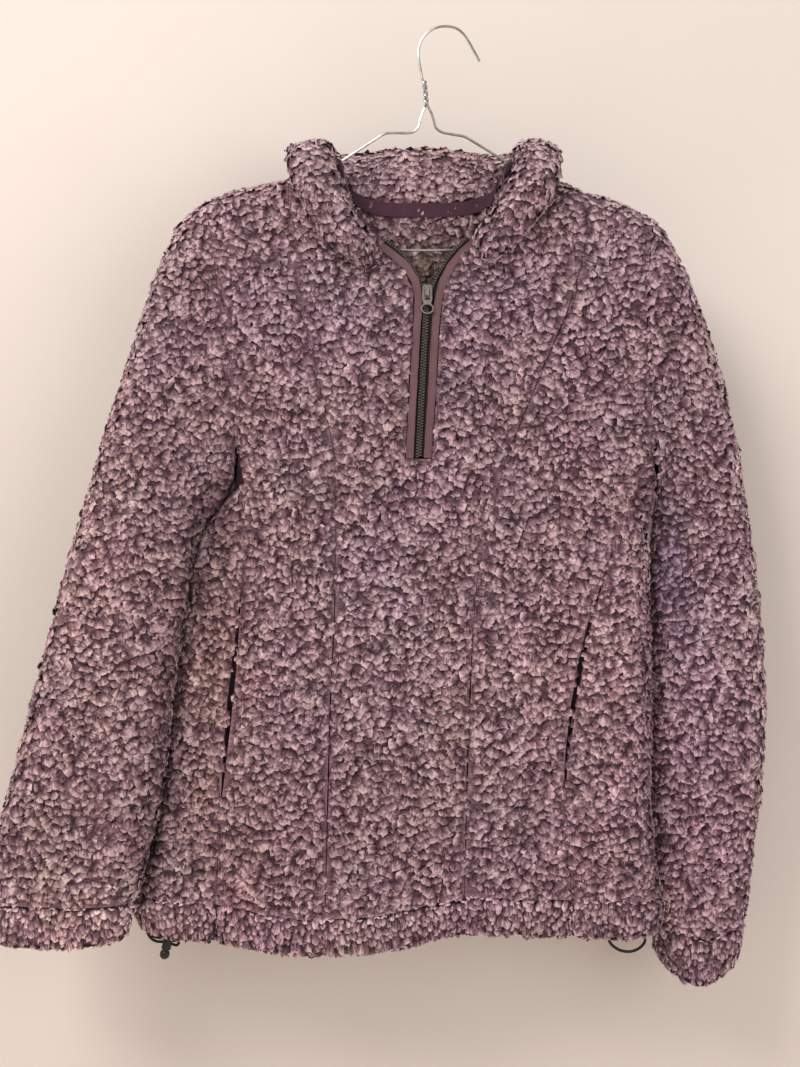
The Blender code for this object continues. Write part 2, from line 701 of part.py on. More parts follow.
def collar_stations():
    """Places round the neck seam, with how the collar leaves it there."""
    stations = []
    for outline, rows, side, count in COLLAR_RUNS:
        for i, point in enumerate(seam_points(outline, side, count)):
            if i == 0 and stations:
                continue
            *leaves, turn, high, slant = between_rows(rows, i / count)
            outer, inward = cloth(*point, side)
            stations.append(dict(
                edge=outer + inward * WALL / 2,
                out=-inward,
                leaves=Vector(leaves).normalized(),
                turn=math.radians(turn),
                high=high,
                slant=slant,
            ))
    for i, station in enumerate(stations):
        run = (stations[min(i + 1, len(stations) - 1)]["edge"] - stations[max(i - 1, 0)]["edge"]).normalized()
        out = (station["out"] - run * run.dot(station["out"])).normalized()
        away = run.cross(out)
        if away.dot(station["edge"] - NECK_MIDDLE) < 0:
            away = -away
        rolls = run.cross(station["leaves"]).normalized()
        if rolls.dot(station["leaves"].cross(away).cross(station["leaves"]) + out * 0.6) < 0:
            rolls = -rolls
        square = (station["leaves"] - run * run.dot(station["leaves"])).normalized()
        rise = max(0.3, square.dot(out))
        lean = max(0.0, square.dot(away))
        clear = COLLAR_GAP + WALL / 2 * abs(square.dot(out))
        clear += lean * (COLLAR_WALL / 2 + WALL / 2 * lean) / rise
        station["base"] = station["edge"] + square * clear
        station["rolls"] = rolls
        station["run"] = run
    return stations


def collar(fleece):
    """A wall of two plies that stands up from the neck seam and rolls outwards."""
    rows = []
    for station in collar_stations():
        leaves, rolls, turn = station["leaves"], station["rolls"], station["turn"]
        radius = station["high"] / turn
        row = []
        for k in range(COLLAR_STEPS + 1):
            angle = turn * k / COLLAR_STEPS
            out = leaves * math.sin(angle) + rolls * (1 - math.cos(angle))
            under = rolls * math.cos(angle) - leaves * math.sin(angle)
            drift = station["run"] * station["slant"] * (math.cos(angle) - 1) / 2
            row.append((station["base"] + out * radius + drift - under * COLLAR_WALL / 2, under))
        rows.append(row)
    Net().rows(rows).solid("collar", COLLAR_WALL, fleece)


def neck_tape(tape):
    """The flat tape that covers the back neck seam inside."""
    rows = []
    for station in collar_stations()[13:26]:
        face = station["base"] - station["rolls"] * (COLLAR_WALL / 2 + 0.3)
        rows.append([(face + station["leaves"] * up, -station["rolls"]) for up in (-9.0, -1.0, 4.5)])
    Net().rows(rows).solid("neck_tape", 1.0, tape)


def offset(curve, distance):
    """The curve moved sideways, to its right for a distance above zero."""
    moved = []
    for i, (x, z) in enumerate(curve):
        ax, az = curve[max(0, i - 1)]
        bx, bz = curve[min(len(curve) - 1, i + 1)]
        run = math.hypot(bx - ax, bz - az)
        moved.append((x + (bz - az) / run * distance, z - (bx - ax) / run * distance))
    return moved


def zip_facings(tape):
    """Smooth binding down each side of the slit, between the pile and the teeth."""
    for name, outline, sign in (("zip_facing_left", LEFT_SLIT, 1), ("zip_facing_right", RIGHT_SLIT, -1)):
        edge = even(smooth(outline), 14)
        lip = offset(edge, sign * FACING_WIDE)
        rows = []
        for near, far in zip(edge, lip):
            level = cloth(*near, -1)[0].y + FACING_SUNK
            rows.append([(Vector((x, level, z)), Vector((0, 1, 0))) for x, z in (near, mixed(near, far, 0.5), far)])
        Net().rows(rows).solid(name, FACING_THICK, tape, 0.6)


# The rows of teeth, from the bottom of the slit up
LEFT_BEAD = (
    (-28.1, -396), (-21.8, -274), (-21.15, -261), (-20.9, -252),
    (-24.0, -241), (-31, -228), (-43, -211), (-57, -200),
)
RIGHT_BEAD = (
    (-24.9, -396), (-18.6, -274), (-17.95, -261), (-17.2, -252),
    (-13.4, -241), (-6.8, -228), (3, -213), (18, -198),
)


def zip_tapes(tape):
    """Each half of the zip: a woven tape with the row of teeth as a bead along its edge."""
    for name, outline, sign in (("zip_tape_left", LEFT_BEAD, -1), ("zip_tape_right", RIGHT_BEAD, 1)):
        path = even(smooth(outline), 22)
        section = (
            (-BEAD_HALF, -BEAD_DEEP), (BEAD_HALF, -BEAD_DEEP), (BEAD_HALF, -TAPE_HALF),
            (BEAD_HALF + TAPE_WIDE, -TAPE_HALF), (BEAD_HALF + TAPE_WIDE, TAPE_HALF), (BEAD_HALF, TAPE_HALF),
            (BEAD_HALF, BEAD_DEEP), (-BEAD_HALF, BEAD_DEEP),
        )
        mesh = bmesh.new()
        rings = []
        for across, depth in section:
            line = offset(path, sign * across)
            rings.append([mesh.verts.new(Vector((x, CHAIN_Y + depth, z)) * MM) for x, z in line])
        for a, b in zip(rings, rings[1:] + rings[:1]):
            for i in range(len(path) - 1):
                mesh.faces.new((a[i], a[i + 1], b[i + 1], b[i]))
        mesh.faces.new([ring[0] for ring in rings])
        mesh.faces.new([ring[-1] for ring in reversed(rings)])
        finished(name, mesh, tape)


def box(low, high):
    """A box mesh between two corners."""
    mesh = bmesh.new()
    bmesh.ops.create_cube(mesh, size=1.0)
    for vert in mesh.verts:
        share = [c + 0.5 for c in vert.co]
        vert.co = Vector([a + (b - a) * s for a, b, s in zip(low, high, share)]) * MM
    return mesh


def joined(target, mesh, operation="UNION"):
    """Adds a mesh to an object, or cuts it away, through a hidden helper."""
    data = bpy.data.meshes.new(target.name + "_tool")
    mesh.normal_update()
    bmesh.ops.recalc_face_normals(mesh, faces=mesh.faces)
    mesh.to_mesh(data)
    mesh.free()
    tool = bpy.data.objects.new(data.name, data)
    bpy.context.scene.collection.objects.link(tool)
    tool.parent = target
    tool.hide_render = True
    tool.display_type = "WIRE"
    change = target.modifiers.new(tool.name, "BOOLEAN")
    change.operation = operation
    change.object = tool


def prism(outline, y_front, y_back):
    """A flat shape in the front view, with depth."""
    mesh = bmesh.new()
    front = [mesh.verts.new(Vector((x, y_front, z)) * MM) for x, z in outline]
    rear = [mesh.verts.new(Vector((x, y_back, z)) * MM) for x, z in outline]
    mesh.faces.new(front)
    mesh.faces.new(rear[::-1])
    for i in range(len(outline)):
        j = (i + 1) % len(outline)
        mesh.faces.new((front[j], front[i], rear[i], rear[j]))
    return mesh


def zip_slider(metal):
    """Two plates with a wedge between the rows of teeth, and the arch that carries the pull."""
    x, _, z = PULL_AXIS
    top, foot = z + 5, z - 7
    clear = BEAD_DEEP + 0.3
    plate = 1.2
    face = CHAIN_Y - clear - plate
    outline = (
        (x - 3.8, foot), (x + 3.8, foot), (x + 4.6, top - 2), (x + 3.4, top), (x - 3.4, top), (x - 4.6, top - 2),
    )
    wedge = ((x - 0.4, top - 4.5), (x + 0.4, top - 4.5), (x + 1.7, top - 0.4), (x - 1.7, top - 0.4))
    slider = finished("zip_slider", prism(outline, face, CHAIN_Y - clear), metal)
    joined(slider, prism(outline, CHAIN_Y + clear, CHAIN_Y + clear + plate))
    joined(slider, prism(wedge, CHAIN_Y - clear - 0.3, CHAIN_Y + clear + 0.3))
    arch_front = face - 5.7
    joined(slider, box((x - 1.7, arch_front, z + 1.9), (x + 1.7, face + 0.4, z + 3.3)))
    joined(slider, box((x - 1.7, arch_front, z - 4.4), (x + 1.7, arch_front + 1.3, z + 2.5)))
    joined(slider, box((x - 1.7, arch_front, z - 5.6), (x + 1.7, face + 0.4, z - 4.2)))


def ring_points(cx, cz, rx, rz, count):
    """The points of an ellipse in the front view."""
    angles = [2 * math.pi * i / count for i in range(count)]
    return [(cx + rx * math.cos(a), cz + rz * math.sin(a)) for a in angles]


def zip_pull(metal):
    """A flat tab with a slot for the arch at its top and a ring at its foot."""
    half_top, half_ring, rim = 4.5, 6.0, 1.3
    ring_z = -(PULL_LONG - half_ring)
    angles = [math.radians(d) for d in (55, 30, 0, -30, -60, -90)]
    side = [(half_ring * math.cos(a), ring_z + 5.0 * math.sin(a)) for a in angles]
    right = [(half_top, 0.85), (half_top, -8.5)] + side
    outline = right + [(-x, z) for x, z in reversed(right[:-1])]
    slot = [(-2.4, -0.85), (-2.4, -9.2), (2.4, -9.2), (2.4, -0.85)]
    hole = ring_points(0, ring_z, half_ring - rim, 5.0 - rim, 14)
    curve = bpy.data.curves.new("zip_pull", "CURVE")
    curve.dimensions = "2D"
    curve.fill_mode = "BOTH"
    curve.extrude = PULL_THICK / 2 * MM
    for points in (outline, slot, hole):
        spline = curve.splines.new("POLY")
        spline.points.add(len(points) - 1)
        spline.use_cyclic_u = True
        for point, (x, z) in zip(spline.points, points):
            point.co = (x * MM, z * MM, 0.0, 1.0)
    curve.materials.append(metal)
    made = bpy.data.objects.new("zip_pull", curve)
    made.location = Vector(PULL_AXIS) * MM
    made.rotation_euler = (math.radians(90), 0.0, 0.0)
    bpy.context.scene.collection.objects.link(made)


def tube(name, route, diameter, finish, sides=8):
    """A round wire or rod along a route."""
    points = [Vector(p) for p in route]
    mesh = bmesh.new()
    rings = []
    normal = None
    for i, point in enumerate(points):
        run = (points[min(i + 1, len(points) - 1)] - points[max(i - 1, 0)]).normalized()
        if normal is None:
            normal = run.orthogonal().normalized()
        normal = (normal - run * normal.dot(run)).normalized()
        across = run.cross(normal)
        ring = []
        for k in range(sides):
            angle = 2 * math.pi * k / sides
            spoke = normal * math.cos(angle) + across * math.sin(angle)
            ring.append(mesh.verts.new((point + spoke * diameter / 2) * MM))
        rings.append(ring)
    for a, b in zip(rings, rings[1:]):
        for k in range(sides):
            j = (k + 1) % sides
            mesh.faces.new((a[k], a[j], b[j], b[k]))
    mesh.faces.new(rings[0])
    mesh.faces.new(rings[-1][::-1])
    return finished(name, mesh, finish)


TWIST_TOP = (-20.9, 0.0, -49.0)
TWIST_FOOT = (-18.6, 0.0, -73.0)
HOOK = (
    (30, 0, -31), (21.5, 0, -15.5), (15, 0, -5.6), (8, 0, -0.4), (0, 0, 1.2), (-7.5, 0, 0.6),
    (-15, 0, -2.6), (-21.5, 0, -8.6), (-25.4, 0, -17), (-26.2, 0, -26), (-24.6, 0, -37),
)
LEFT_ARM = (
    (-22.8, 0, -79.5), (-24.9, 0, -86), (-26.4, 0, -92), (-32.4, 0, -96.6), (-45, 0, -97), (-56, 0, -97.3),
    (-63, 0, -100.9), (-104, 0, -127.4), (-150, 0, -157.1), (-206, 0, -193.3), (-216, 0, -198.8),
    (-217.4, 0, -202.4), (-215, 0, -204.8), (-211, 0, -205),
)
RIGHT_ARM = (
    (-14.0, 0, -79.5), (-12.0, 0, -86), (-10.6, 0, -91.5), (-5.4, 0, -96), (5, 0, -98.4), (15.5, 0, -100.2),
    (22, 0, -103.6), (62, 0, -128), (113, 0, -159.1), (168, 0, -192.7), (178, 0, -197.8),
    (179.6, 0, -202.2), (177.2, 0, -204.8), (173, 0, -205),
)


def twist(start_angle):
    """One of the two strands wound round each other."""
    top, foot = Vector(TWIST_TOP), Vector(TWIST_FOOT)
    count = int(9 * TWIST_TURNS)
    points = []
    for i in range(count + 1):
        angle = start_angle + 2 * math.pi * TWIST_TURNS * i / count
        off = Vector((math.cos(angle), math.sin(angle), 0.0)) * TWIST_RADIUS
        points.append(tuple(top.lerp(foot, i / count) + off))
    return points


def hanger(steel):
    """One bent wire: the hook, two arms that meet in a twist, and the bar between their ends."""
    left_strand, right_strand = twist(math.pi), twist(0.0)
    hook = smooth(HOOK + tuple(left_strand[:1]), 4.0)
    tube("hanger_hook", hook[:-1] + left_strand, WIRE, steel)
    left = smooth((left_strand[-1],) + LEFT_ARM, 4.0)
    gap = 5 * HALF_GAP
    tube("hanger_arm_left", thinned(along_from(left, gap)), WIRE, steel)
    right = smooth((right_strand[-1],) + RIGHT_ARM, 4.0)
    tube("hanger_arm_right", right_strand[:-1] + thinned(right), WIRE, steel)
    bar = (LEFT_ARM[-1][0] + 2 * HALF_GAP, RIGHT_ARM[-1][0] - 2 * HALF_GAP)
    tube("hanger_bar", [(x, 0.0, LEFT_ARM[-1][2]) for x in bar], WIRE, steel)


def along_from(curve, start):
    """The curve without its first stretch."""
    return along(curve, [start]) + [p for p, d in zip(curve, lengths(curve)) if d > start + 1.0]


def thinned(curve):
    """The curve without the points that lie on its straight runs."""
    kept = [curve[0]]
    for i in range(1, len(curve) - 1):
        before = (Vector(curve[i]) - Vector(kept[-1])).normalized()
        after = (Vector(curve[i + 1]) - Vector(curve[i])).normalized()
        if before.dot(after) < 0.9994:
            kept.append(curve[i])
    return kept + [curve[-1]]


# The drawcord loops out of the hem band at each side
LEFT_CORD = (
    (-268.6, -15, -831), (-266.6, -13.5, -832.6), (-263.8, -11.5, -833.8), (-259.8, -10, -834.9),
    (-254.9, -10, -836.05), (-250, -10, -837.2), (-247, -10, -836.9), (-245, -10, -839.1), (-247, -10, -841.3),
    (-250.7, -10, -840.3), (-255.6, -10, -839.2), (-260.5, -10, -838.1), (-265.6, -10.8, -837.4),
    (-270, -12.5, -834), (-272.6, -14, -829.3),
)
RIGHT_CORD = (
    (146, -18, -832.5), (147, -17.5, -836), (151, -17, -840.5), (157.5, -17, -844), (166, -16.5, -845),
    (174, -15, -842.6), (179.5, -13, -837.6), (179.5, -11.5, -833), (175, -11.5, -831.4), (170, -13, -833.8),
    (165, -15, -834.8), (160.5, -17, -834.6), (158.5, -18, -832.7),
)


def cord(name, route, finish):
    """A round elastic cord, as a curve with a bevel."""
    path = smooth(route, 1.0)
    points = even(path, round(lengths(path)[-1] * 0.8 / CORD))
    curve = bpy.data.curves.new(name, "CURVE")
    curve.dimensions = "3D"
    curve.bevel_depth = CORD / 2 * MM
    curve.bevel_resolution = 2
    curve.use_fill_caps = True
    spline = curve.splines.new("POLY")
    spline.points.add(len(points) - 1)
    for point, place in zip(spline.points, points):
        point.co = (*(Vector(place) * MM), 1.0)
    curve.materials.append(finish)
    made = bpy.data.objects.new(name, curve)
    bpy.context.scene.collection.objects.link(made)


def turned(profile, sides=16):
    """A closed round body from its radii and heights."""
    mesh = bmesh.new()
    rings = []
    for radius, z in profile:
        if radius == 0:
            rings.append([mesh.verts.new(Vector((0.0, 0.0, z)) * MM)])
            continue
        angles = [2 * math.pi * k / sides for k in range(sides)]
        rings.append([mesh.verts.new(Vector((radius * math.cos(a), radius * math.sin(a), z)) * MM) for a in angles])
    for a, b in zip(rings, rings[1:]):
        for k in range(sides):
            j = (k + 1) % sides
            if len(a) == 1:
                mesh.faces.new((a[0], b[k], b[j]))
            elif len(b) == 1:
                mesh.faces.new((a[j], a[k], b[0]))
            else:
                mesh.faces.new((a[k], b[k], b[j], a[j]))
    return mesh


def cord_lock(plastic):
    """A barrel with a sprung plunger in it, both slotted for the two strands of the cord."""
    low, high = LOCK_SLOT
    foot = -14.2 - LOCK_TRAVEL
    barrel = finished("cord_lock_barrel", turned((
        (0, 0), (3.3, 0), (4.3, -0.9), (4.3, -14.2), (3.3, -14.2), (3.3, -1.0), (0, -1.0),
    )), plastic)
    joined(barrel, box((-6, -1.7, low), (6, 1.7, high)), "DIFFERENCE")
    plunger = finished("cord_lock_plunger", turned((
        (0, -1.3 - LOCK_TRAVEL), (2.9, -1.3 - LOCK_TRAVEL), (2.9, foot), (3.6, foot - 0.4), (4.1, foot - 1.2),
        (4.5, foot - 3.4), (4.1, foot - 6), (2.4, foot - 7.6), (0, foot - 8.2),
    )), plastic)
    joined(plunger, box((-6, -1.7, low + 0.4 - LOCK_TRAVEL), (6, 1.7, high - 0.2)), "DIFFERENCE")
    for piece in (barrel, plunger):
        piece.location = Vector(LOCK_TOP) * MM
        piece.rotation_euler = (0.0, math.radians(LOCK_LEAN), 0.0)


def pocket_bags(lining):
    """The leaf sewn inside each side front behind its pocket slit."""
    left, right = side_front_rows()
    sides = (
        ("pocket_bag_left", left, list(range(0, SIDE_FRONT_COLUMNS)), -1),
        ("pocket_bag_right", right, list(range(SIDE_FRONT_COLUMNS, 0, -1)), 1),
    )
    for name, panel, columns, toward_side in sides:
        rows = []
        for r in range(1, 7):
            row = []
            for k, c in enumerate(columns):
                point, inward = panel[r][c]
                row.append(bag_point(point, inward, r, k, len(columns)))
            seam, inward = panel[r][columns[0]]
            beyond, beyond_in = cloth(seam.x + toward_side * 13, seam.z, -1)
            row.insert(0, bag_point(beyond, beyond_in, 1, 0, 9))
            rows.append(row)
        Net().rows(rows).solid(name, 1.5, lining)


def bag_point(point, inward, row, column, count):
    """A point of the pocket's leaf: it meets the panel round its border and stands off it inside."""
    rim = row in (1, 6) or column == count - 1 or count == 9
    stand = 1.2 if rim else 8.5
    return point + inward * (WALL + stand), inward


def main():
    for old in list(bpy.data.objects):
        bpy.data.objects.remove(old, do_unlink=True)
    fleece = material("sherpa_fleece", (0.42, 0.29, 0.34), 0.95)
    tape = material("plum_tape", (0.12, 0.06, 0.09), 0.8)
    lining = material("pocket_lining", (0.13, 0.06, 0.11), 0.9)
    metal = material("antique_nickel", (0.36, 0.33, 0.31), 0.35, 1.0)
    steel = material("galvanised_wire", (0.55, 0.54, 0.52), 0.35, 1.0)
    black = material("black_elastic", (0.012, 0.011, 0.012), 0.7)
    plastic = material("black_plastic", (0.012, 0.011, 0.012), 0.45)
    centre_front(fleece)
    side_fronts(fleece)
    side_panels(fleece)
    back(fleece)
    hem_bands(fleece)
    sleeves(fleece)
    collar(fleece)
    neck_tape(tape)
    zip_facings(tape)
    zip_tapes(tape)
    zip_slider(metal)
    zip_pull(metal)
    pocket_bags(lining)
    cord("drawcord_left", LEFT_CORD, black)
    cord("drawcord_right", RIGHT_CORD, black)
    cord_lock(plastic)
    hanger(steel)


main()
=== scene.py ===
"""Looks of a zip fleece pullover on a wire hanger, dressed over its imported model.

Positions are metres in the frame of the model: +Z up, the front faces -Y, and the origin is the
inside of the hook's crest. Sizes named in millimetres are turned to metres where they are used.
"""

import logging
import math
from dataclasses import dataclass, field
from enum import Enum

import bpy
import numpy as np
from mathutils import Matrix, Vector
from mathutils.bvhtree import BVHTree


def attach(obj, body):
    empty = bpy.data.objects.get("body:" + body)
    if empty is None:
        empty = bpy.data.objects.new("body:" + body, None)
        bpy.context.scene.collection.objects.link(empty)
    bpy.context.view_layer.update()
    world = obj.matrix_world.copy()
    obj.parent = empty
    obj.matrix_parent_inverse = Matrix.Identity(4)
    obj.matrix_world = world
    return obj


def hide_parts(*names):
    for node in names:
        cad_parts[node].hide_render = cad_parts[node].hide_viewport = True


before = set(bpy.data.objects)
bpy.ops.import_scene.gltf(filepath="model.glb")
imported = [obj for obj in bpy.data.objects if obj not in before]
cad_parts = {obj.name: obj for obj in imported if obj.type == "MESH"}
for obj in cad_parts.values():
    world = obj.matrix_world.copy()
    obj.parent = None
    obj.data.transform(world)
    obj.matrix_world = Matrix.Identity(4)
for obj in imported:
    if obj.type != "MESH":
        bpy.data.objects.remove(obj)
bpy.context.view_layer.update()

LOG = logging.getLogger("scene")
MM = 0.001
WELD = 2e-6  # Points of the model that are nearer than this, in metres, are one
TINY = 1e-12  # Keeps a division by a length of nothing in bounds
Colour = tuple[float, float, float]
Point = tuple[float, float, float]
Socket = bpy.types.NodeSocket
Value = Socket | float | tuple[float, ...]


class Slot(Enum):
    """Material slots of the record."""

    FLEECE = "sherpa_fleece"
    TAPE = "plum_tape"
    LINING = "pocket_lining"
    NICKEL = "antique_nickel"
    ELASTIC = "black_elastic"


class Face(Enum):
    """Which faces of a piece's wall carry the pile."""

    OUTER = "outer"
    ALL = "all"


def placed(name: str, data: bpy.types.ID) -> bpy.types.Object:
    """Puts an object of this data in the scene.

    Args:
        name: Its name.
        data: Its mesh, curve, light or camera.

    Returns:
        The object.
    """
    made = bpy.data.objects.new(name, data)
    bpy.context.scene.collection.objects.link(made)
    return made


# ---- Surfaces ----

SMOOTHING = (0.52, -0.54)  # Pull in and push back of a round
BORDER_STEPS = 14  # Edges walked inwards from a border


@dataclass
class Surface:
    """Triangles with a wanted edge length at each point.

    Args:
        points: Places, one row a point, in metres.
        faces: Corner indices, one row a triangle.
        spacing: Longest edge wanted round each point, in metres.
    """

    points: np.ndarray
    faces: np.ndarray
    spacing: np.ndarray

    @classmethod
    def of_node(cls, name: str) -> "Surface":
        """The welded triangles of a node of the model.

        Args:
            name: Name of the node.

        Returns:
            Its surface.
        """
        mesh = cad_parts[name].data
        mesh.calc_loop_triangles()
        points = np.empty(len(mesh.vertices) * 3, np.float32)
        mesh.vertices.foreach_get("co", points)
        faces = np.empty(len(mesh.loop_triangles) * 3, np.int32)
        mesh.loop_triangles.foreach_get("vertices", faces)
        points = points.reshape(-1, 3).astype(np.float64)
        keys = np.round(points / WELD).astype(np.int64)
        _, first, index = np.unique(keys, axis=0, return_index=True, return_inverse=True)
        faces = index.reshape(-1)[faces.reshape(-1, 3)]
        whole = (faces[:, 0] != faces[:, 1]) & (faces[:, 1] != faces[:, 2]) & (faces[:, 0] != faces[:, 2])
        return cls(points[first], faces[whole], np.full(len(first), 0.01))

    def corners(self) -> np.ndarray:
        """The places of each triangle's corners."""
        return self.points[self.faces]

    def areas(self) -> np.ndarray:
        """Twice each triangle's area, as vectors along its normal."""
        tri = self.corners()
        return np.cross(tri[:, 1] - tri[:, 0], tri[:, 2] - tri[:, 0])

    def normals(self) -> np.ndarray:
        """Directions of the surface.

        Returns:
            Unit normals at the points.
        """
        face = self.areas()
        total = np.zeros_like(self.points)
        for axis in range(3):
            for corner in range(3):
                total[:, axis] += np.bincount(self.faces[:, corner], face[:, axis], len(self.points))
        return total / np.maximum(np.linalg.norm(total, axis=1, keepdims=True), TINY)

    def edges(self) -> tuple[np.ndarray, np.ndarray, np.ndarray]:
        """The edges between the points.

        Returns:
            Every edge once, the edge of each triangle's sides, and how many triangles share each edge.
        """
        sides = np.sort(self.faces[:, [0, 1, 1, 2, 2, 0]].reshape(-1, 2), axis=1)
        keys = sides[:, 0] * np.int64(len(self.points)) + sides[:, 1]
        _, first, index, uses = np.unique(keys, return_index=True, return_inverse=True, return_counts=True)
        return sides[first], index.reshape(-1, 3), uses

    def parts(self, sharp: float = 40.0) -> list[np.ndarray]:
        """The faces that sharp edges part.

        Args:
            sharp: Least angle of a sharp edge, in degrees.

        Returns:
            The triangles of each face, the largest face first.
        """
        vectors = self.areas()
        unit = vectors / np.maximum(np.linalg.norm(vectors, axis=1, keepdims=True), TINY)
        _, side_edge, _ = self.edges()
        order = np.argsort(side_edge.reshape(-1), kind="stable")
        owner = order // 3
        shared = side_edge.reshape(-1)[order]
        pair = np.nonzero(shared[1:] == shared[:-1])[0]
        a, b = owner[pair], owner[pair + 1]
        soft = (unit[a] * unit[b]).sum(axis=1) > math.cos(math.radians(sharp))
        a, b = a[soft], b[soft]
        label = np.arange(len(self.faces))
        while True:
            before = label.copy()
            low = np.minimum(label[a], label[b])
            np.minimum.at(label, a, low)
            np.minimum.at(label, b, low)
            label = label[label]
            if (label == before).all():
                break
        sizes = np.linalg.norm(vectors, axis=1)
        groups = [np.nonzero(label == value)[0] for value in np.unique(label)]
        return sorted(groups, key=lambda group: -sizes[group].sum())

    def only(self, chosen: np.ndarray) -> "Surface":
        """The surface with only some of its triangles.

        Args:
            chosen: Those triangles.

        Returns:
            The smaller surface.
        """
        faces = self.faces[chosen]
        kept, index = np.unique(faces, return_inverse=True)
        return Surface(self.points[kept], index.reshape(-1, 3), self.spacing[kept])

    def refined(self, share: float = 1.0) -> "Surface":
        """The surface with its long edges split.

        Args:
            share: Longest edge that is left, as a share of the spacing there.

        Returns:
            The finer surface.
        """
        points, faces, spacing = self.points, self.faces, self.spacing
        while True:
            step = Surface(points, faces, spacing)
            edges, side_edge, _ = step.edges()
            long = np.linalg.norm(points[edges[:, 0]] - points[edges[:, 1]], axis=1)
            split = long > spacing[edges].mean(axis=1) * share
            if not split.any():
                return step
            middle = np.full(len(edges), -1)
            middle[split] = len(points) + np.arange(split.sum())
            ends = edges[split]
            points = np.concatenate([points, points[ends].mean(axis=1)])
            spacing = np.concatenate([spacing, spacing[ends].mean(axis=1)])
            mids = middle[side_edge]
            faces = self._split(points, faces, mids)

    @staticmethod
    def _split(points: np.ndarray, faces: np.ndarray, mids: np.ndarray) -> np.ndarray:
        """Cuts triangles at the midpoints of their sides.

        Args:
            points: Places of the corners and the midpoints.
            faces: The triangles.
            mids: Midpoint of each side, or -1 where it isn't cut.

        Returns:
            The triangles after the cuts.
        """
        cut = mids >= 0
        count = cut.sum(axis=1)
        made = [faces[count == 0]]
        for turn in range(3):
            face, mid, has = np.roll(faces, -turn, 1), np.roll(mids, -turn, 1), np.roll(cut, -turn, 1)
            one = (count == 1) & has[:, 0]
            a, b, c, m = *face[one].T, mid[one, 0]
            made += [np.stack([a, m, c], 1), np.stack([m, b, c], 1)]
            two = (count == 2) & has[:, 0] & has[:, 1]
            a, b, c, m, n = *face[two].T, mid[two, 0], mid[two, 1]
            made.append(np.stack([m, b, n], 1))
            flip = np.linalg.norm(points[a] - points[n], axis=1) < np.linalg.norm(points[m] - points[c], axis=1)
            made += [
                np.stack([a, m, n], 1)[flip], np.stack([a, n, c], 1)[flip],
                np.stack([a, m, c], 1)[~flip], np.stack([m, n, c], 1)[~flip],
            ]
        full = count == 3
        a, b, c = faces[full].T
        m, n, o = mids[full].T
        made += [np.stack(t, 1) for t in ((a, m, o), (m, b, n), (o, n, c), (m, n, o))]
        return np.concatenate(made)

    def smoothed(self, rounds: int) -> "Surface":
        """The surface evened out without shrinking, its border held.

        Args:
            rounds: Number of pulls in and back out.

        Returns:
            The smoother surface.
        """
        edges, _, uses = self.edges()
        held = np.zeros(len(self.points), bool)
        held[edges[uses == 1].reshape(-1)] = True
        count = np.maximum(np.bincount(edges.reshape(-1), minlength=len(self.points)), 1)
        points = self.points.copy()
        for turn in range(rounds * 2):
            pull = SMOOTHING[turn % 2]
            mean = np.empty_like(points)
            for axis in range(3):
                values = points[:, axis]
                mean[:, axis] = np.bincount(edges[:, 0], values[edges[:, 1]], len(points))
                mean[:, axis] += np.bincount(edges[:, 1], values[edges[:, 0]], len(points))
            move = (mean / count[:, None] - points) * pull
            points = points + np.where(held[:, None], 0.0, move)
        return Surface(points, self.faces, self.spacing)

    def from_border(self, reach: float) -> np.ndarray:
        """How far each point lies from the border along the surface.

        Args:
            reach: Longest distance that is told apart, in metres.

        Returns:
            The distances, in metres.
        """
        edges, _, uses = self.edges()
        away = np.full(len(self.points), reach)
        away[edges[uses == 1].reshape(-1)] = 0.0
        a, b = edges.T
        long = np.linalg.norm(self.points[a] - self.points[b], axis=1)
        for _ in range(BORDER_STEPS):
            np.minimum.at(away, a, away[b] + long)
            np.minimum.at(away, b, away[a] + long)
        return away

    def mesh(self, name: str, **values: np.ndarray) -> bpy.types.Object:
        """Makes a smooth object of the surface.

        Args:
            name: Its name.
            values: Attributes at its points, numbers or colours.

        Returns:
            The object.
        """
        data = bpy.data.meshes.new(name)
        data.vertices.add(len(self.points))
        data.vertices.foreach_set("co", self.points.astype(np.float32).reshape(-1))
        data.loops.add(self.faces.size)
        data.loops.foreach_set("vertex_index", self.faces.astype(np.int32).reshape(-1))
        data.polygons.add(len(self.faces))
        data.polygons.foreach_set("loop_start", np.arange(0, self.faces.size, 3, dtype=np.int32))
        data.update(calc_edges=True)
        data.shade_smooth()
        for key, value in values.items():
            if value.ndim == 1:
                data.attributes.new(key, "FLOAT", "POINT").data.foreach_set("value", value.astype(np.float32))
            else:
                rgba = np.concatenate([value, np.ones((len(value), 1))], axis=1).astype(np.float32)
                data.attributes.new(key, "FLOAT_COLOR", "POINT").data.foreach_set("color", rgba.reshape(-1))
        data.validate()
        return placed(name, data)


# ---- Noise ----

# Numbers that scramble a cell's place into even random numbers
HASH_PRIMES = (73856093, 19349663, 83492791)
HASH_SEED = 2654435761
HASH_CHANNEL = 0x9E3779B9
HASH_ROUNDS = ((16, 0x7FEB352D), (15, 0x846CA68B))
HASH_MASK = np.uint64(0xFFFFFFFF)


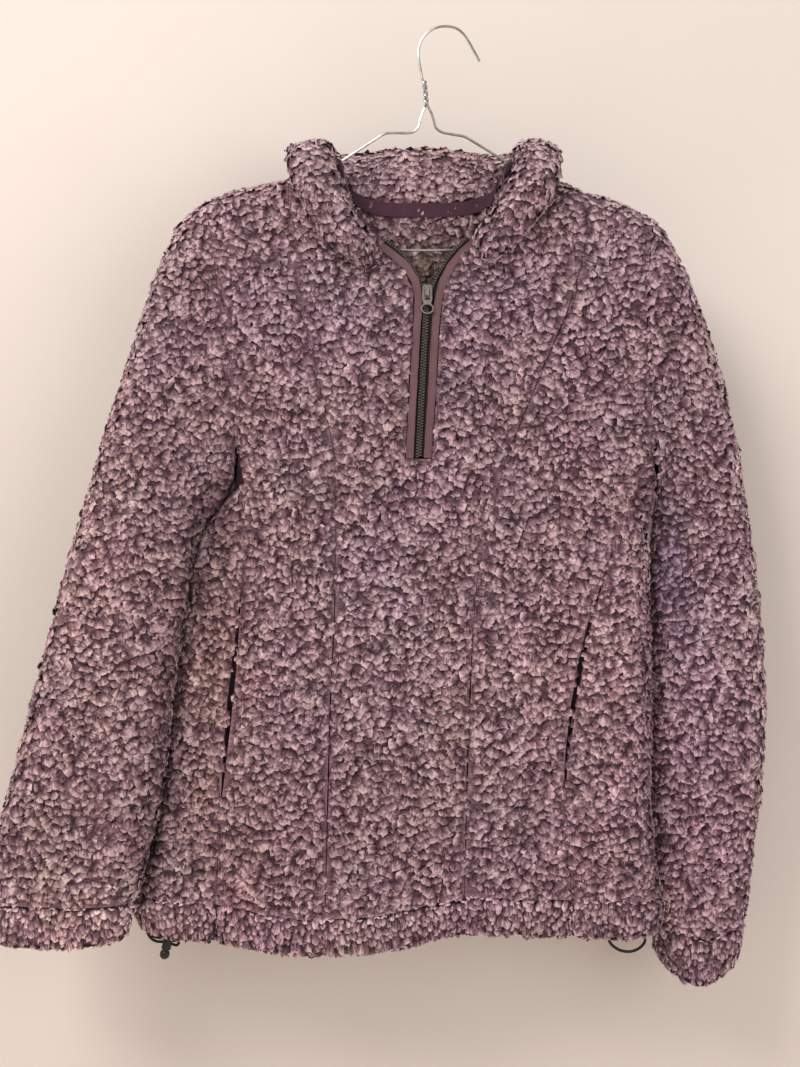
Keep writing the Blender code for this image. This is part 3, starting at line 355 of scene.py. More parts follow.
@dataclass(frozen=True)
class Lattice:
    """Seeded noise on a grid of cells.

    Args:
        pitch: Size of a cell, in metres.
        seed: Number that sets the noise apart from others.
    """

    pitch: float
    seed: int

    def values(self, cells: np.ndarray, channels: int = 3) -> np.ndarray:
        """Random numbers for cells.

        Args:
            cells: Corners of the cells, in whole steps.
            channels: How many numbers each cell has.

        Returns:
            Numbers spread evenly from 0 to 1, one row a cell.
        """
        whole = cells.astype(np.int64).astype(np.uint64)
        x, y, z = (whole[:, axis] * np.uint64(prime) for axis, prime in enumerate(HASH_PRIMES))
        mixed = ((x ^ y ^ z) + np.uint64(self.seed * HASH_SEED)) & HASH_MASK
        found = []
        for k in range(channels):
            h = (mixed + np.uint64(k * HASH_CHANNEL)) & HASH_MASK
            for shift, factor in HASH_ROUNDS:
                h = ((h ^ (h >> np.uint64(shift))) * np.uint64(factor)) & HASH_MASK
            h = h ^ (h >> np.uint64(16))
            found.append(h.astype(np.float64) / int(HASH_MASK))
        return np.stack(found, axis=1)

    def smooth(self, points: np.ndarray, channels: int = 3) -> np.ndarray:
        """Smooth noise.

        Args:
            points: Places, in metres.
            channels: How many values each place has.

        Returns:
            Values from -1 to 1, one row a point.
        """
        place = points / self.pitch
        low = np.floor(place)
        part = place - low
        part = part * part * (3 - 2 * part)
        total = np.zeros((len(points), channels))
        for corner in range(8):
            step = np.array([corner & 1, corner >> 1 & 1, corner >> 2 & 1])
            weight = np.prod(np.where(step == 1, part, 1 - part), axis=1)
            total += weight[:, None] * self.values(low + step, channels)
        return total * 2 - 1


def eased(value: np.ndarray, low: float, high: float) -> np.ndarray:
    """A smooth step.

    Args:
        value: Numbers to ease.
        low: Where the step starts.
        high: Where it ends.

    Returns:
        0 below low, 1 above high, and smooth between.
    """
    t = np.clip((value - low) / (high - low), 0.0, 1.0)
    return t * t * (3 - 2 * t)


# ---- Materials ----


@dataclass
class Graph:
    """A node material as it is built.

    Args:
        name: Name of the material.
        material: The material.
        shader: Its shader.
    """

    name: str
    material: bpy.types.Material = field(init=False)
    shader: bpy.types.Node = field(init=False)

    def __post_init__(self) -> None:
        """Makes the empty material."""
        self.material = bpy.data.materials.new(self.name)
        self.material.use_nodes = True
        self.shader = self.material.node_tree.nodes["Principled BSDF"]

    def add(self, kind: str, settings: dict | None = None, **inputs: Value) -> bpy.types.Node:
        """Adds a node.

        Args:
            kind: Blender's name of the node, without ShaderNode.
            settings: Properties of the node.
            inputs: Values or sockets for its inputs, with _ for spaces.

        Returns:
            The node.
        """
        node = self.material.node_tree.nodes.new("ShaderNode" + kind)
        for key, value in (settings or {}).items():
            setattr(node, key, value)
        for key, value in inputs.items():
            self.put(node.inputs[key.replace("_", " ")], value)
        return node

    def put(self, socket: Socket, value: Value) -> None:
        """Links a socket to an input, or sets its value.

        Args:
            socket: The input.
            value: A socket, a number or a colour.
        """
        if isinstance(value, Socket):
            self.material.node_tree.links.new(value, socket)
        else:
            socket.default_value = (*value, 1.0) if socket.type == "RGBA" and len(value) == 3 else value

    def place(self) -> Socket:
        """The place on the object, in metres."""
        return self.add("TexCoord").outputs["Object"]

    def math(self, operation: str, first: Value, second: Value, clamp: bool = False) -> Socket:
        """A result of two numbers.

        Args:
            operation: Blender's name of the operation.
            first: First number or socket.
            second: Second number or socket.
            clamp: Whether the result is held between 0 and 1.

        Returns:
            The socket of the result.
        """
        node = self.add("Math", {"operation": operation, "use_clamp": clamp})
        self.put(node.inputs[0], first)
        self.put(node.inputs[1], second)
        return node.outputs[0]

    def line(self, value: Socket, factor: float, offset: float) -> Socket:
        """A number times a factor, plus an offset.

        Args:
            value: The number's socket.
            factor: The factor.
            offset: The offset.

        Returns:
            The socket of the result.
        """
        made = self.math("MULTIPLY_ADD", value, factor)
        made.node.inputs[2].default_value = offset
        return made

    def product(self, first: Value, second: Value) -> Socket:
        """A product of two colours.

        Args:
            first: First colour or socket.
            second: Second colour or socket.

        Returns:
            The socket of the product.
        """
        node = self.add("Mix", {"data_type": "RGBA", "blend_type": "MULTIPLY"})
        self.put(node.inputs[0], 1.0)
        self.put(node.inputs[6], first)
        self.put(node.inputs[7], second)
        return node.outputs[2]

    def ramp(self, share: Value, *stops: tuple[float, Colour]) -> Socket:
        """A colour ramp.

        Args:
            share: Number or socket that the ramp reads.
            stops: Positions and their colours.

        Returns:
            The socket of the colour.
        """
        node = self.add("ValToRGB")
        elements = node.color_ramp.elements
        while len(elements) < len(stops):
            elements.new(0.5)
        for element, (position, colour) in zip(elements, stops):
            element.position = position
            element.color = (*colour, 1.0)
        self.put(node.inputs[0], share)
        return node.outputs[0]

    def noise(self, size: float, detail: float = 3.0, rough: float = 0.55) -> Socket:
        """Cloudy noise.

        Args:
            size: Size of its features, in millimetres.
            detail: Number of finer layers.
            rough: Strength of each finer layer.

        Returns:
            The socket of the noise.
        """
        node = self.add("TexNoise", Vector=self.place(), Scale=1 / (size * MM), Detail=detail, Roughness=rough)
        return node.outputs["Fac"]

    def bump(self, height: Value, deep: float, strength: float = 1.0) -> None:
        """Puts a relief on the shader.

        Args:
            height: Socket of its height.
            deep: Its depth, in millimetres.
            strength: Its strength.
        """
        node = self.add("Bump", Height=height, Distance=deep * MM, Strength=strength)
        self.put(self.shader.inputs["Normal"], node.outputs[0])

    def finish(self, colour: Value, rough: Value, **fixed: Value) -> bpy.types.Material:
        """Sets the shader's values.

        Args:
            colour: Colour or its socket.
            rough: Roughness or its socket.
            fixed: Values that are the same all over, with _ for spaces.

        Returns:
            The material.
        """
        self.put(self.shader.inputs["Base Color"], colour)
        self.put(self.shader.inputs["Roughness"], rough)
        for key, value in fixed.items():
            self.shader.inputs[key.replace("_", " ")].default_value = value
        return self.material


def scaled(colour: Colour, factor: float) -> Colour:
    """A colour made darker or lighter.

    Args:
        colour: The colour.
        factor: What it is multiplied by.

    Returns:
        The new colour, held to 1.
    """
    return tuple(min(1.0, c * factor) for c in colour)


@dataclass(frozen=True)
class FleeceFinish:
    """Curly pile, dark at its roots and pale at its tips.

    Args:
        root: Colour between the curls, near black as painted shade.
        middle: Colour of the curls' sides.
        tip: Colour of the curls' tips, pale as painted light.
        strands: How fine the strands are across, along and between the curls.
        streaks: Factor and offset of the strands' shade.
        fuzz: Factor and offset of the fuzz's shade.
    """

    root: Colour = (0.036, 0.012, 0.022)
    middle: Colour = (0.250, 0.140, 0.173)
    tip: Colour = (0.63, 0.452, 0.478)
    strands: Point = (1.7, 2.8, 7.0)
    streaks: tuple[float, float] = (0.8, -0.42)
    fuzz: tuple[float, float] = (0.44, -0.22)

    def material(self) -> bpy.types.Material:
        """Makes the material.

        Returns:
            The material.
        """
        g = Graph("sherpa_pile")
        pile = g.add("Attribute", {"attribute_name": "pile"}).outputs["Fac"]
        tint = g.add("Attribute", {"attribute_name": "tint"}).outputs["Color"]
        lock = g.add("Attribute", {"attribute_name": "lock"}).outputs["Vector"]
        drawn = g.add("Mapping", Vector=lock, Scale=self.strands).outputs[0]
        strands = g.add("TexNoise", Vector=drawn, Scale=1.0, Detail=2.0, Distortion=0.6).outputs["Fac"]
        fuzz = g.noise(1.3, 4.0, 0.65)
        level = g.math("ADD", pile, g.line(strands, *self.streaks))
        level = g.math("ADD", level, g.line(fuzz, *self.fuzz), clamp=True)
        # Painted light and shade: the ramp runs from shade between the curls to a painted highlight on their rims
        colour = g.ramp(
            level, (0.0, self.root), (0.24, scaled(self.middle, 0.42)),
            (0.5, self.middle), (0.82, self.tip), (1.0, scaled(self.tip, 1.2)),
        )
        colour = g.product(colour, tint)
        g.bump(g.math("ADD", g.math("MULTIPLY", strands, 1.4), fuzz), 0.8, 0.8)
        return g.finish(
            colour, 0.96, Specular_IOR_Level=0.12, Sheen_Weight=0.15, Sheen_Roughness=0.6,
            Sheen_Tint=(0.95, 0.82, 0.88, 1.0),
        )


@dataclass(frozen=True)
class KnitFinish:
    """Smooth knitted or woven cloth with a fine rib.

    Args:
        name: Name of the material.
        colour: Its colour.
        rib: Distance between ribs, in millimetres.
        upright: Whether the ribs stand upright.
    """

    name: str
    colour: Colour
    rib: float = 1.0
    upright: bool = True

    def material(self) -> bpy.types.Material:
        """Makes the material.

        Returns:
            The material.
        """
        g = Graph(self.name)
        axis = "X" if self.upright else "Z"
        waves = g.add("TexWave", {"bands_direction": axis}, Vector=g.place(), Scale=math.pi / 10 / (self.rib * MM),
                      Distortion=1.2, Detail=2.0)
        cross = g.noise(0.7, 2.0)
        cloud = g.noise(22.0, 3.0)
        weave = g.math("MULTIPLY", waves.outputs["Fac"], cross)
        colour = g.ramp(
            g.line(cloud, 0.7, 0.5), (0.0, scaled(self.colour, 0.6)), (0.6, self.colour),
            (1.0, scaled(self.colour, 1.45)),
        )
        # Painted shade: the colour darkens in the rib's grooves, where the bump is low
        shade = g.ramp(weave, (0.0, (0.72, 0.72, 0.72)), (0.6, (1.15, 1.15, 1.15)))
        g.bump(g.math("ADD", weave, g.math("MULTIPLY", cloud, 0.3)), 0.35)
        return g.finish(
            g.product(colour, shade), 0.82, Specular_IOR_Level=0.2, Sheen_Weight=0.2,
            Sheen_Roughness=0.5,
        )


@dataclass(frozen=True)
class MetalFinish:
    """Metal with a dulled, lightly worn surface.

    Args:
        name: Name of the material.
        colour: Colour of the metal.
        worn: Colour where it is worn or dulled.
        rough: Roughness.
        size: Size of the patches, in millimetres.
    """

    name: str
    colour: Colour
    worn: Colour
    rough: float
    size: float = 3.0

    def material(self) -> bpy.types.Material:
        """Makes the material.

        Returns:
            The material.
        """
        g = Graph(self.name)
        patches = g.noise(self.size, 4.0, 0.6)
        scratches = g.noise(0.5, 2.0, 0.7)
        colour = g.ramp(patches, (0.35, self.worn), (0.62, self.colour))
        rough = g.line(scratches, 0.3, self.rough - 0.15)
        g.bump(g.math("ADD", scratches, g.math("MULTIPLY", patches, 0.6)), 0.03, 0.6)
        return g.finish(colour, rough, Metallic=1.0)


@dataclass(frozen=True)
class DarkFinish:
    """Black plastic or braided elastic.

    Args:
        name: Name of the material.
        colour: Its colour.
        rough: Roughness.
        braid: Depth of a braid's relief in millimetres, or 0 for moulded plastic.
    """

    name: str
    colour: Colour
    rough: float
    braid: float = 0.0

    def material(self) -> bpy.types.Material:
        """Makes the material.

        Returns:
            The material.
        """
        g = Graph(self.name)
        speckle = g.noise(0.6, 3.0, 0.6)
        cloud = g.noise(4.0, 2.0)
        height = speckle
        if self.braid:
            turned = g.add("Mapping", {"vector_type": "TEXTURE"}, Vector=g.place(), Rotation=(0.6, 0.9, 0.4))
            strands = g.add("TexVoronoi", Vector=turned.outputs[0], Scale=1100.0)
            height = g.math("ADD", strands.outputs["Distance"], g.math("MULTIPLY", speckle, 0.3))
        colour = g.ramp(cloud, (0.3, self.colour), (0.75, scaled(self.colour, 2.2)))
        rough = g.line(speckle, 0.25, self.rough - 0.12)
        g.bump(height, self.braid or 0.04)
        return g.finish(colour, rough, Specular_IOR_Level=0.4)


# ---- Fleece ----

FACING = (-0.3, 0.3)  # Turn of the surface over which a patch of the front or back comes in


def bell(points: np.ndarray, centre: tuple[float, float], size: tuple[float, float]) -> np.ndarray:
    """A soft spot in the front view.

    Args:
        points: Places, in metres.
        centre: Its middle, (x, z) in millimetres.
        size: Half its width and height, in millimetres.

    Returns:
        Its strength at each point, 1 in the middle.
    """
    x = (points[:, 0] / MM - centre[0]) / size[0]
    z = (points[:, 2] / MM - centre[1]) / size[1]
    return np.exp(-(x * x + z * z))


@dataclass(frozen=True)
class Patch:
    """A place where the pile's colour or depth differs.

    Args:
        centre: Its middle in the front view, (x, z) in millimetres.
        size: Half its width and height, in millimetres.
        tint: Factors on the colour there, the pile's own tints and painted light and shade.
        flat: How far the pile is pressed down there, from 0 to 1.
        front: Whether it lies on the front, or else the back.
    """

    centre: tuple[float, float]
    size: tuple[float, float]
    tint: Colour = (1.0, 1.0, 1.0)
    flat: float = 0.0
    front: bool = True

    def share(self, points: np.ndarray, normals: np.ndarray) -> np.ndarray:
        """How much of the patch lies on each point.

        Args:
            points: The points.
            normals: Unit normals there.

        Returns:
            Shares from 0 to 1.
        """
        facing = -normals[:, 1] if self.front else normals[:, 1]
        return bell(points, self.centre, self.size) * eased(facing, *FACING)


TINT_AND_SHADE_STRENGTH = 0.6  # Power that the patches' factors, their tints and painted light and shade, are raised to
PATCHES = (
    Patch((-206, -585), (34, 150), (1.02, 0.98, 0.78)),
    Patch((-190, -760), (60, 70), (1.0, 0.95, 0.93)),
    Patch((-120, -260), (60, 50), (0.93, 0.94, 1.08)),
    Patch((40, -250), (70, 40), (0.93, 0.94, 1.07)),
    Patch((-60, -500), (40, 60), (0.9, 0.95, 1.06)),
    Patch((228, -560), (30, 90), (0.9, 0.92, 1.12)),
    Patch((205, -480), (14, 60), (0.82, 0.92, 1.22), 0.35),
    # Painted light: the pile made paler where more light falls, on the lower front, the right sleeve, the hem, the left
    # cuff and the left sleeve
    Patch((130, -620), (70, 140), (1.28, 1.25, 1.19)),
    Patch((-60, -570), (110, 140), (1.18, 1.18, 1.14)),
    Patch((270, -500), (60, 240), (1.26, 1.25, 1.32)),
    Patch((-50, -825), (300, 42), (1.36, 1.34, 1.34)),
    Patch((-350, -840), (90, 60), (1.75, 1.75, 1.68)),
    Patch((-345, -540), (70, 230), (1.42, 1.42, 1.28)),
    Patch((250, -760), (50, 90), (1.0, 0.9, 1.0)),
    # Shade in the creases between the body and the sleeves
    Patch((-208, -448), (20, 42), (0.25, 0.19, 0.23)),
    Patch((-226, -510), (15, 46), (0.25, 0.19, 0.23)),
    Patch((-241, -585), (12, 56), (0.28, 0.22, 0.25)),
    Patch((-254, -670), (10, 60), (0.32, 0.26, 0.29)),
    Patch((-266, -765), (10, 60), (0.32, 0.26, 0.29)),
    Patch((186, -435), (12, 34), (0.25, 0.19, 0.26)),
    Patch((189, -530), (10, 60), (0.36, 0.30, 0.38)),
    Patch((187, -640), (10, 66), (0.36, 0.30, 0.36)),
    Patch((190, -760), (10, 66), (0.36, 0.30, 0.36)),
    # Matted ridge down the left sleeve: pile pressed down, and made paler as painted light along the ridge
    Patch((-293, -490), (9, 90), (1.08, 1.06, 1.04), 0.5),
    Patch((-308, -690), (9, 100), (1.08, 1.06, 1.04), 0.5),
    # The back
    Patch((-110, -520), (70, 160), (1.03, 1.0, 0.92), front=False),
    Patch((90, -420), (60, 140), (0.95, 0.96, 1.06), front=False),
    Patch((220, -640), (40, 150), (1.0, 0.93, 1.02), front=False),
    Patch((-330, -560), (50, 160), (1.03, 1.0, 0.92), front=False),
)


@dataclass(frozen=True)
class Swell:
    """A place where the cloth stands out further than its solid.

    Args:
        centre: Its middle in the front view, (x, z) in millimetres.
        size: Half its width and height, in millimetres.
        high: How far the cloth stands out, in millimetres.
    """

    centre: tuple[float, float]
    size: tuple[float, float]
    high: float

    def height(self, points: np.ndarray) -> np.ndarray:
        """How far the cloth stands out.

        Args:
            points: Places on the cloth.

        Returns:
            The distance at each point, in metres.
        """
        return bell(points, self.centre, self.size) * self.high * MM


# Where the left sleeve and the side of the body press against each other
SWELLS = (
    Swell((-200, -425), (22, 30), 3.5),
    Swell((-218, -470), (24, 38), 5.0),
    Swell((-238, -530), (24, 50), 5.0),
)


HANG = np.array([0.0, -0.3, -1.0])  # The way that curls hang

# How tufts differ from one another, each from its least to its greatest
SIZES = (0.7, 1.3)  # Share of the full size
LENGTHS = (0.85, 1.2)  # Share of the full length
LIFTS = (-1.1, 0.9)  # Change of height, in millimetres
BENDS = (-2.2, 0.4)  # How far the sides stand over the middle, in millimetres
LEANS = (-0.7, 0.7)  # How far one side stands over the other, in millimetres
TONES = (-0.12, 0.1)  # Change of the colour's level
BROAD_WAVES, CLOSE_WAVES = (1.2, 2.2), (2.4, 3.4)  # Half waves across half a tuft

SKIN_LUMP = 5.5  # Size of the skin's lumps, in millimetres
SKIN_RELIEF = 0.8  # Their height, in millimetres
SKIN_LIFT = 0.9  # How far the skin stands over the depth of the pile, in millimetres


@dataclass(frozen=True)
class Pile:
    """Curly pile: ruffled tufts over a matted skin.

    Args:
        pitch: Least distance between tufts, in millimetres.
        wide: Width of a tuft, in millimetres.
        long: Length of a tuft, in millimetres.
        deep: How far the skin lies below the model's face, in millimetres.
        proud: How far the tufts stand past that face, in millimetres.
        across: Number of faces across a tuft.
        cuts: Shares of a tuft's length at which its faces meet.
        wander: Spread of the tufts' directions, in degrees.
        clump: Distance over which the tufts' height and direction change, in millimetres.
        swirl: How far the direction changes over it, in degrees.
        seam: How far from a seam the pile is pressed down, in millimetres.
        pressed: How flat it lies there, from 0 to 1.
        fibres: Number of loose fibre ends for each tuft.
        seed: Number that sets its noise apart.
        rise: Height of a tuft at its cuts, as a share of its full height.
        shades: Level of the colour at its cuts, from painted shade at the root to a painted highlight on the rim.
        ground: Level of the skin's colour, and how far it wavers.
        tries: Number of tries for each square of the pitch.
        fine: Spread of a tuft's points, in millimetres.
    """

    pitch: float = 5.5
    wide: float = 11.4
    long: float = 9.6
    deep: float = 3.0
    proud: float = 0.9
    across: int = 6
    cuts: tuple[float, ...] = (0.0, 0.3, 0.84, 1.0)
    wander: float = 34.0
    clump: float = 11.0
    swirl: float = 60.0
    seam: float = 6.0
    pressed: float = 0.8
    fibres: float = 1.0
    seed: int = 3
    rise: tuple[float, ...] = (0.0, 0.8, 1.0, 0.74)
    shades: tuple[float, ...] = (0.0, 0.32, 0.82, 1.0)
    ground: tuple[float, float] = (0.31, 0.17)
    tries: float = 4.5
    fine: float = 0.22

    def skin(self, base: Surface) -> tuple[Surface, np.ndarray]:
        """The matted skin between the tufts.

        Args:
            base: Surface that it lies below.

        Returns:
            The skin, and its level in the pile from 0 to 1.
        """
        lumps = Lattice(SKIN_LUMP * MM, self.seed).smooth(base.points, 2)
        height = (SKIN_RELIEF * lumps[:, 0] - self.deep + SKIN_LIFT) * MM
        points = base.points + base.normals() * height[:, None]
        level = np.clip(self.ground[0] + self.ground[1] * lumps[:, 1], 0, 1)
        return Surface(points, base.faces, base.spacing), level

    def roots(self, base: Surface, rng: np.random.Generator) -> tuple[np.ndarray, np.ndarray]:
        """Where tufts grow, none nearer to another than the pitch.

        Args:
            base: Surface that they grow on.
            rng: Source of random numbers.

        Returns:
            The triangle of each root, and its shares of that triangle's corners.
        """
        sizes = np.linalg.norm(base.areas(), axis=1)
        tries = int(sizes.sum() / 2 / (self.pitch * MM) ** 2 * self.tries)
        chosen = rng.choice(len(sizes), tries, p=sizes / sizes.sum())
        share = rng.dirichlet((1, 1, 1), tries)
        places = (base.corners()[chosen] * share[:, :, None]).sum(axis=1) / (self.pitch * MM)
        kept = []
        taken: dict[tuple[int, int, int], list[tuple[float, float, float]]] = {}
        steps = [(x, y, z) for x in (-1, 0, 1) for y in (-1, 0, 1) for z in (-1, 0, 1)]
        for i, (place, cell) in enumerate(zip(places.tolist(), np.floor(places).astype(int).tolist())):
            x, y, z = place
            near = (p for a, b, c in steps for p in taken.get((cell[0] + a, cell[1] + b, cell[2] + c), ()))
            if all((x - p) ** 2 + (y - q) ** 2 + (z - r) ** 2 >= 1 for p, q, r in near):
                taken.setdefault(tuple(cell), []).append((x, y, z))
                kept.append(i)
        return chosen[kept], share[kept]

    def tufts(self, places: np.ndarray, normals: np.ndarray, flat: np.ndarray,
              rng: np.random.Generator) -> tuple[np.ndarray, np.ndarray, np.ndarray, np.ndarray]:
        """Tufts that hang over one another, each ruffled and turned in at its lower edge.

        Args:
            places: Middles of the tufts on the model's face.
            normals: Unit normals there.
            flat: How far the pile is pressed down there, from 0 to 1.
            rng: Source of random numbers.

        Returns:
            Points, faces, levels in the pile and places on the tuft, with points in order of their tufts.
        """
        count, columns = len(places), self.across + 1

        def spread(low: float, high: float) -> np.ndarray:
            """One random number for each tuft."""
            return rng.uniform(low, high, (count, 1, 1))

        def ruffle() -> np.ndarray:
            """A random wave across each tuft."""
            turn = np.pi * u
            wave = 0.6 * np.sin(turn * spread(*BROAD_WAVES) + spread(0, 6.3))
            return wave + 0.5 * np.sin(turn * spread(*CLOSE_WAVES) + spread(0, 6.3))

        clump = Lattice(self.clump * MM, self.seed + 5).smooth(places, 3)[:, None, :]
        down = HANG - normals * (normals @ HANG)[:, None]
        down /= np.maximum(np.linalg.norm(down, axis=1, keepdims=True), TINY)
        side = np.cross(normals, down)
        turn = np.radians(rng.normal(0, self.wander, (count, 1)) + clump[:, 0, :1] * self.swirl)
        along = down * np.cos(turn) + side * np.sin(turn)
        over = np.cross(normals, along)

        u = np.linspace(-1, 1, columns)[None, None, :]
        v, rise, shade = (np.array(values)[None, :, None] for values in (self.cuts, self.rise, self.shades))
        size = spread(*SIZES) * (1 - 0.35 * flat[:, None, None])
        long = self.long * size * spread(*LENGTHS)
        x = self.wide / 2 * size * u * (0.72 + 0.5 * v - 0.22 * v * v) + ruffle() * 0.7 * v
        y = long * (v - 0.5 - 0.26 * u * u * v * v) + ruffle() * 1.2 * v * v
        y = np.where(v == 1.0, y - 0.1 * long, y)
        z = rise * (self.deep + self.proud + clump[:, :, 1:2] + spread(*LIFTS))
        z = z + v * v * (ruffle() * 1.1 + spread(*BENDS) * u * u + spread(*LEANS) * u)
        x, y, z = (value + rng.normal(0, self.fine, (count, len(self.cuts), columns)) for value in (x, y, z))
        z = z * (1 - 0.7 * flat[:, None, None]) - self.deep - 0.2
        points = places[:, None, None, :] + MM * (
            x[..., None] * over[:, None, None, :] + y[..., None] * along[:, None, None, :]
            + z[..., None] * normals[:, None, None, :])

        level = shade + 0 * u
        # Painted light and shade: a tuft that stands higher is paler, and each tuft darkens towards its sides; the
        # tones and the ruffle vary it at random
        level = level + clump[:, :, 1:2] * 0.12 + spread(*TONES) + ruffle() * 0.12 - 0.32 * u ** 4
        level = np.clip(level + rng.normal(0, 0.09, level.shape) - 0.02 * flat[:, None, None], 0, 1.1)
        lock = np.stack(np.broadcast_arrays(u * 2 + spread(0, 9), v, size), axis=-1)
        start = (np.arange(len(self.cuts) - 1)[:, None] * columns + np.arange(columns - 1)).reshape(-1)
        quad = np.stack([start, start + columns, start + columns + 1, start, start + columns + 1, start + 1], axis=1)
        faces = quad.reshape(-1, 3)[None] + (np.arange(count) * len(self.cuts) * columns)[:, None, None]
        return points.reshape(-1, 3), faces.reshape(-1, 3), level.reshape(-1), lock.reshape(-1, 3)

    def loose(self, points: np.ndarray, normals: np.ndarray,
              rng: np.random.Generator) -> tuple[np.ndarray, np.ndarray]:
        """Loose fibre ends on the tips of the curls, each a narrow bent blade.

        Args:
            points: Places that they grow on.
            normals: Unit normals there.
            rng: Source of random numbers.

        Returns:
            Their corners and their faces.
        """
        count = len(points)
        drift = rng.normal(size=(count, 3))
        drift[:, 2] -= 0.3
        drift /= np.linalg.norm(drift, axis=1, keepdims=True)
        ahead = normals * 0.7 + drift * 0.8
        bend = rng.normal(size=(count, 3)) * 0.5
        long = rng.uniform(1.4, 3.6, (count, 1)) * MM
        across = np.cross(ahead, rng.normal(size=(count, 3)))
        across /= np.maximum(np.linalg.norm(across, axis=1, keepdims=True), TINY)
        half = rng.uniform(0.14, 0.3, (count, 1)) * MM
        middle = points + ahead * long * 0.55
        end = points + (ahead + bend) * long
        root = points - normals * 0.5 * MM
        corners = np.stack([root - across * half, root + across * half, middle + across * half * 0.8,
                            middle - across * half * 0.8, end], axis=1)
        start = np.arange(count)[:, None] * 5
        faces = np.concatenate([start + t for t in ((0, 1, 2), (0, 2, 3), (3, 2, 4))])
        return corners.reshape(-1, 3), faces


ROUGH = 2.2  # Longest edge before the first smoothing, as a share of the spacing
ROUNDS = (4, 2)  # Rounds of smoothing before and after the last edges are split
TIP_LEVEL = 0.7  # Level above which loose fibres grow
FIBRE_LEVEL = 0.97  # Level of their colour, pale like the tips' painted light
MATTED = 0.24  # How much paler the skin is where it is pressed down
SKIN_GRAIN = 130  # Strands on the skin for each metre
BELOW_SKIN = 0.4  # How far the ground lies below the depth of the pile, in millimetres
CLOUDS = ((0.06, 41), (0.022, 43))  # Sizes in metres and seeds of the broad changes of colour
CLOUD_TINT = (0.06, 0.08, 0.08)  # How strong they are
TUFT_SHADE = 0.12  # How far tufts differ in brightness
NECK_MIDDLE, NECK_REACH = -0.023, 0.12  # Where the lining shows through the neck, in metres
LINING_FADE = (-0.21, -0.185)  # Heights between which the lining turns plum, in metres


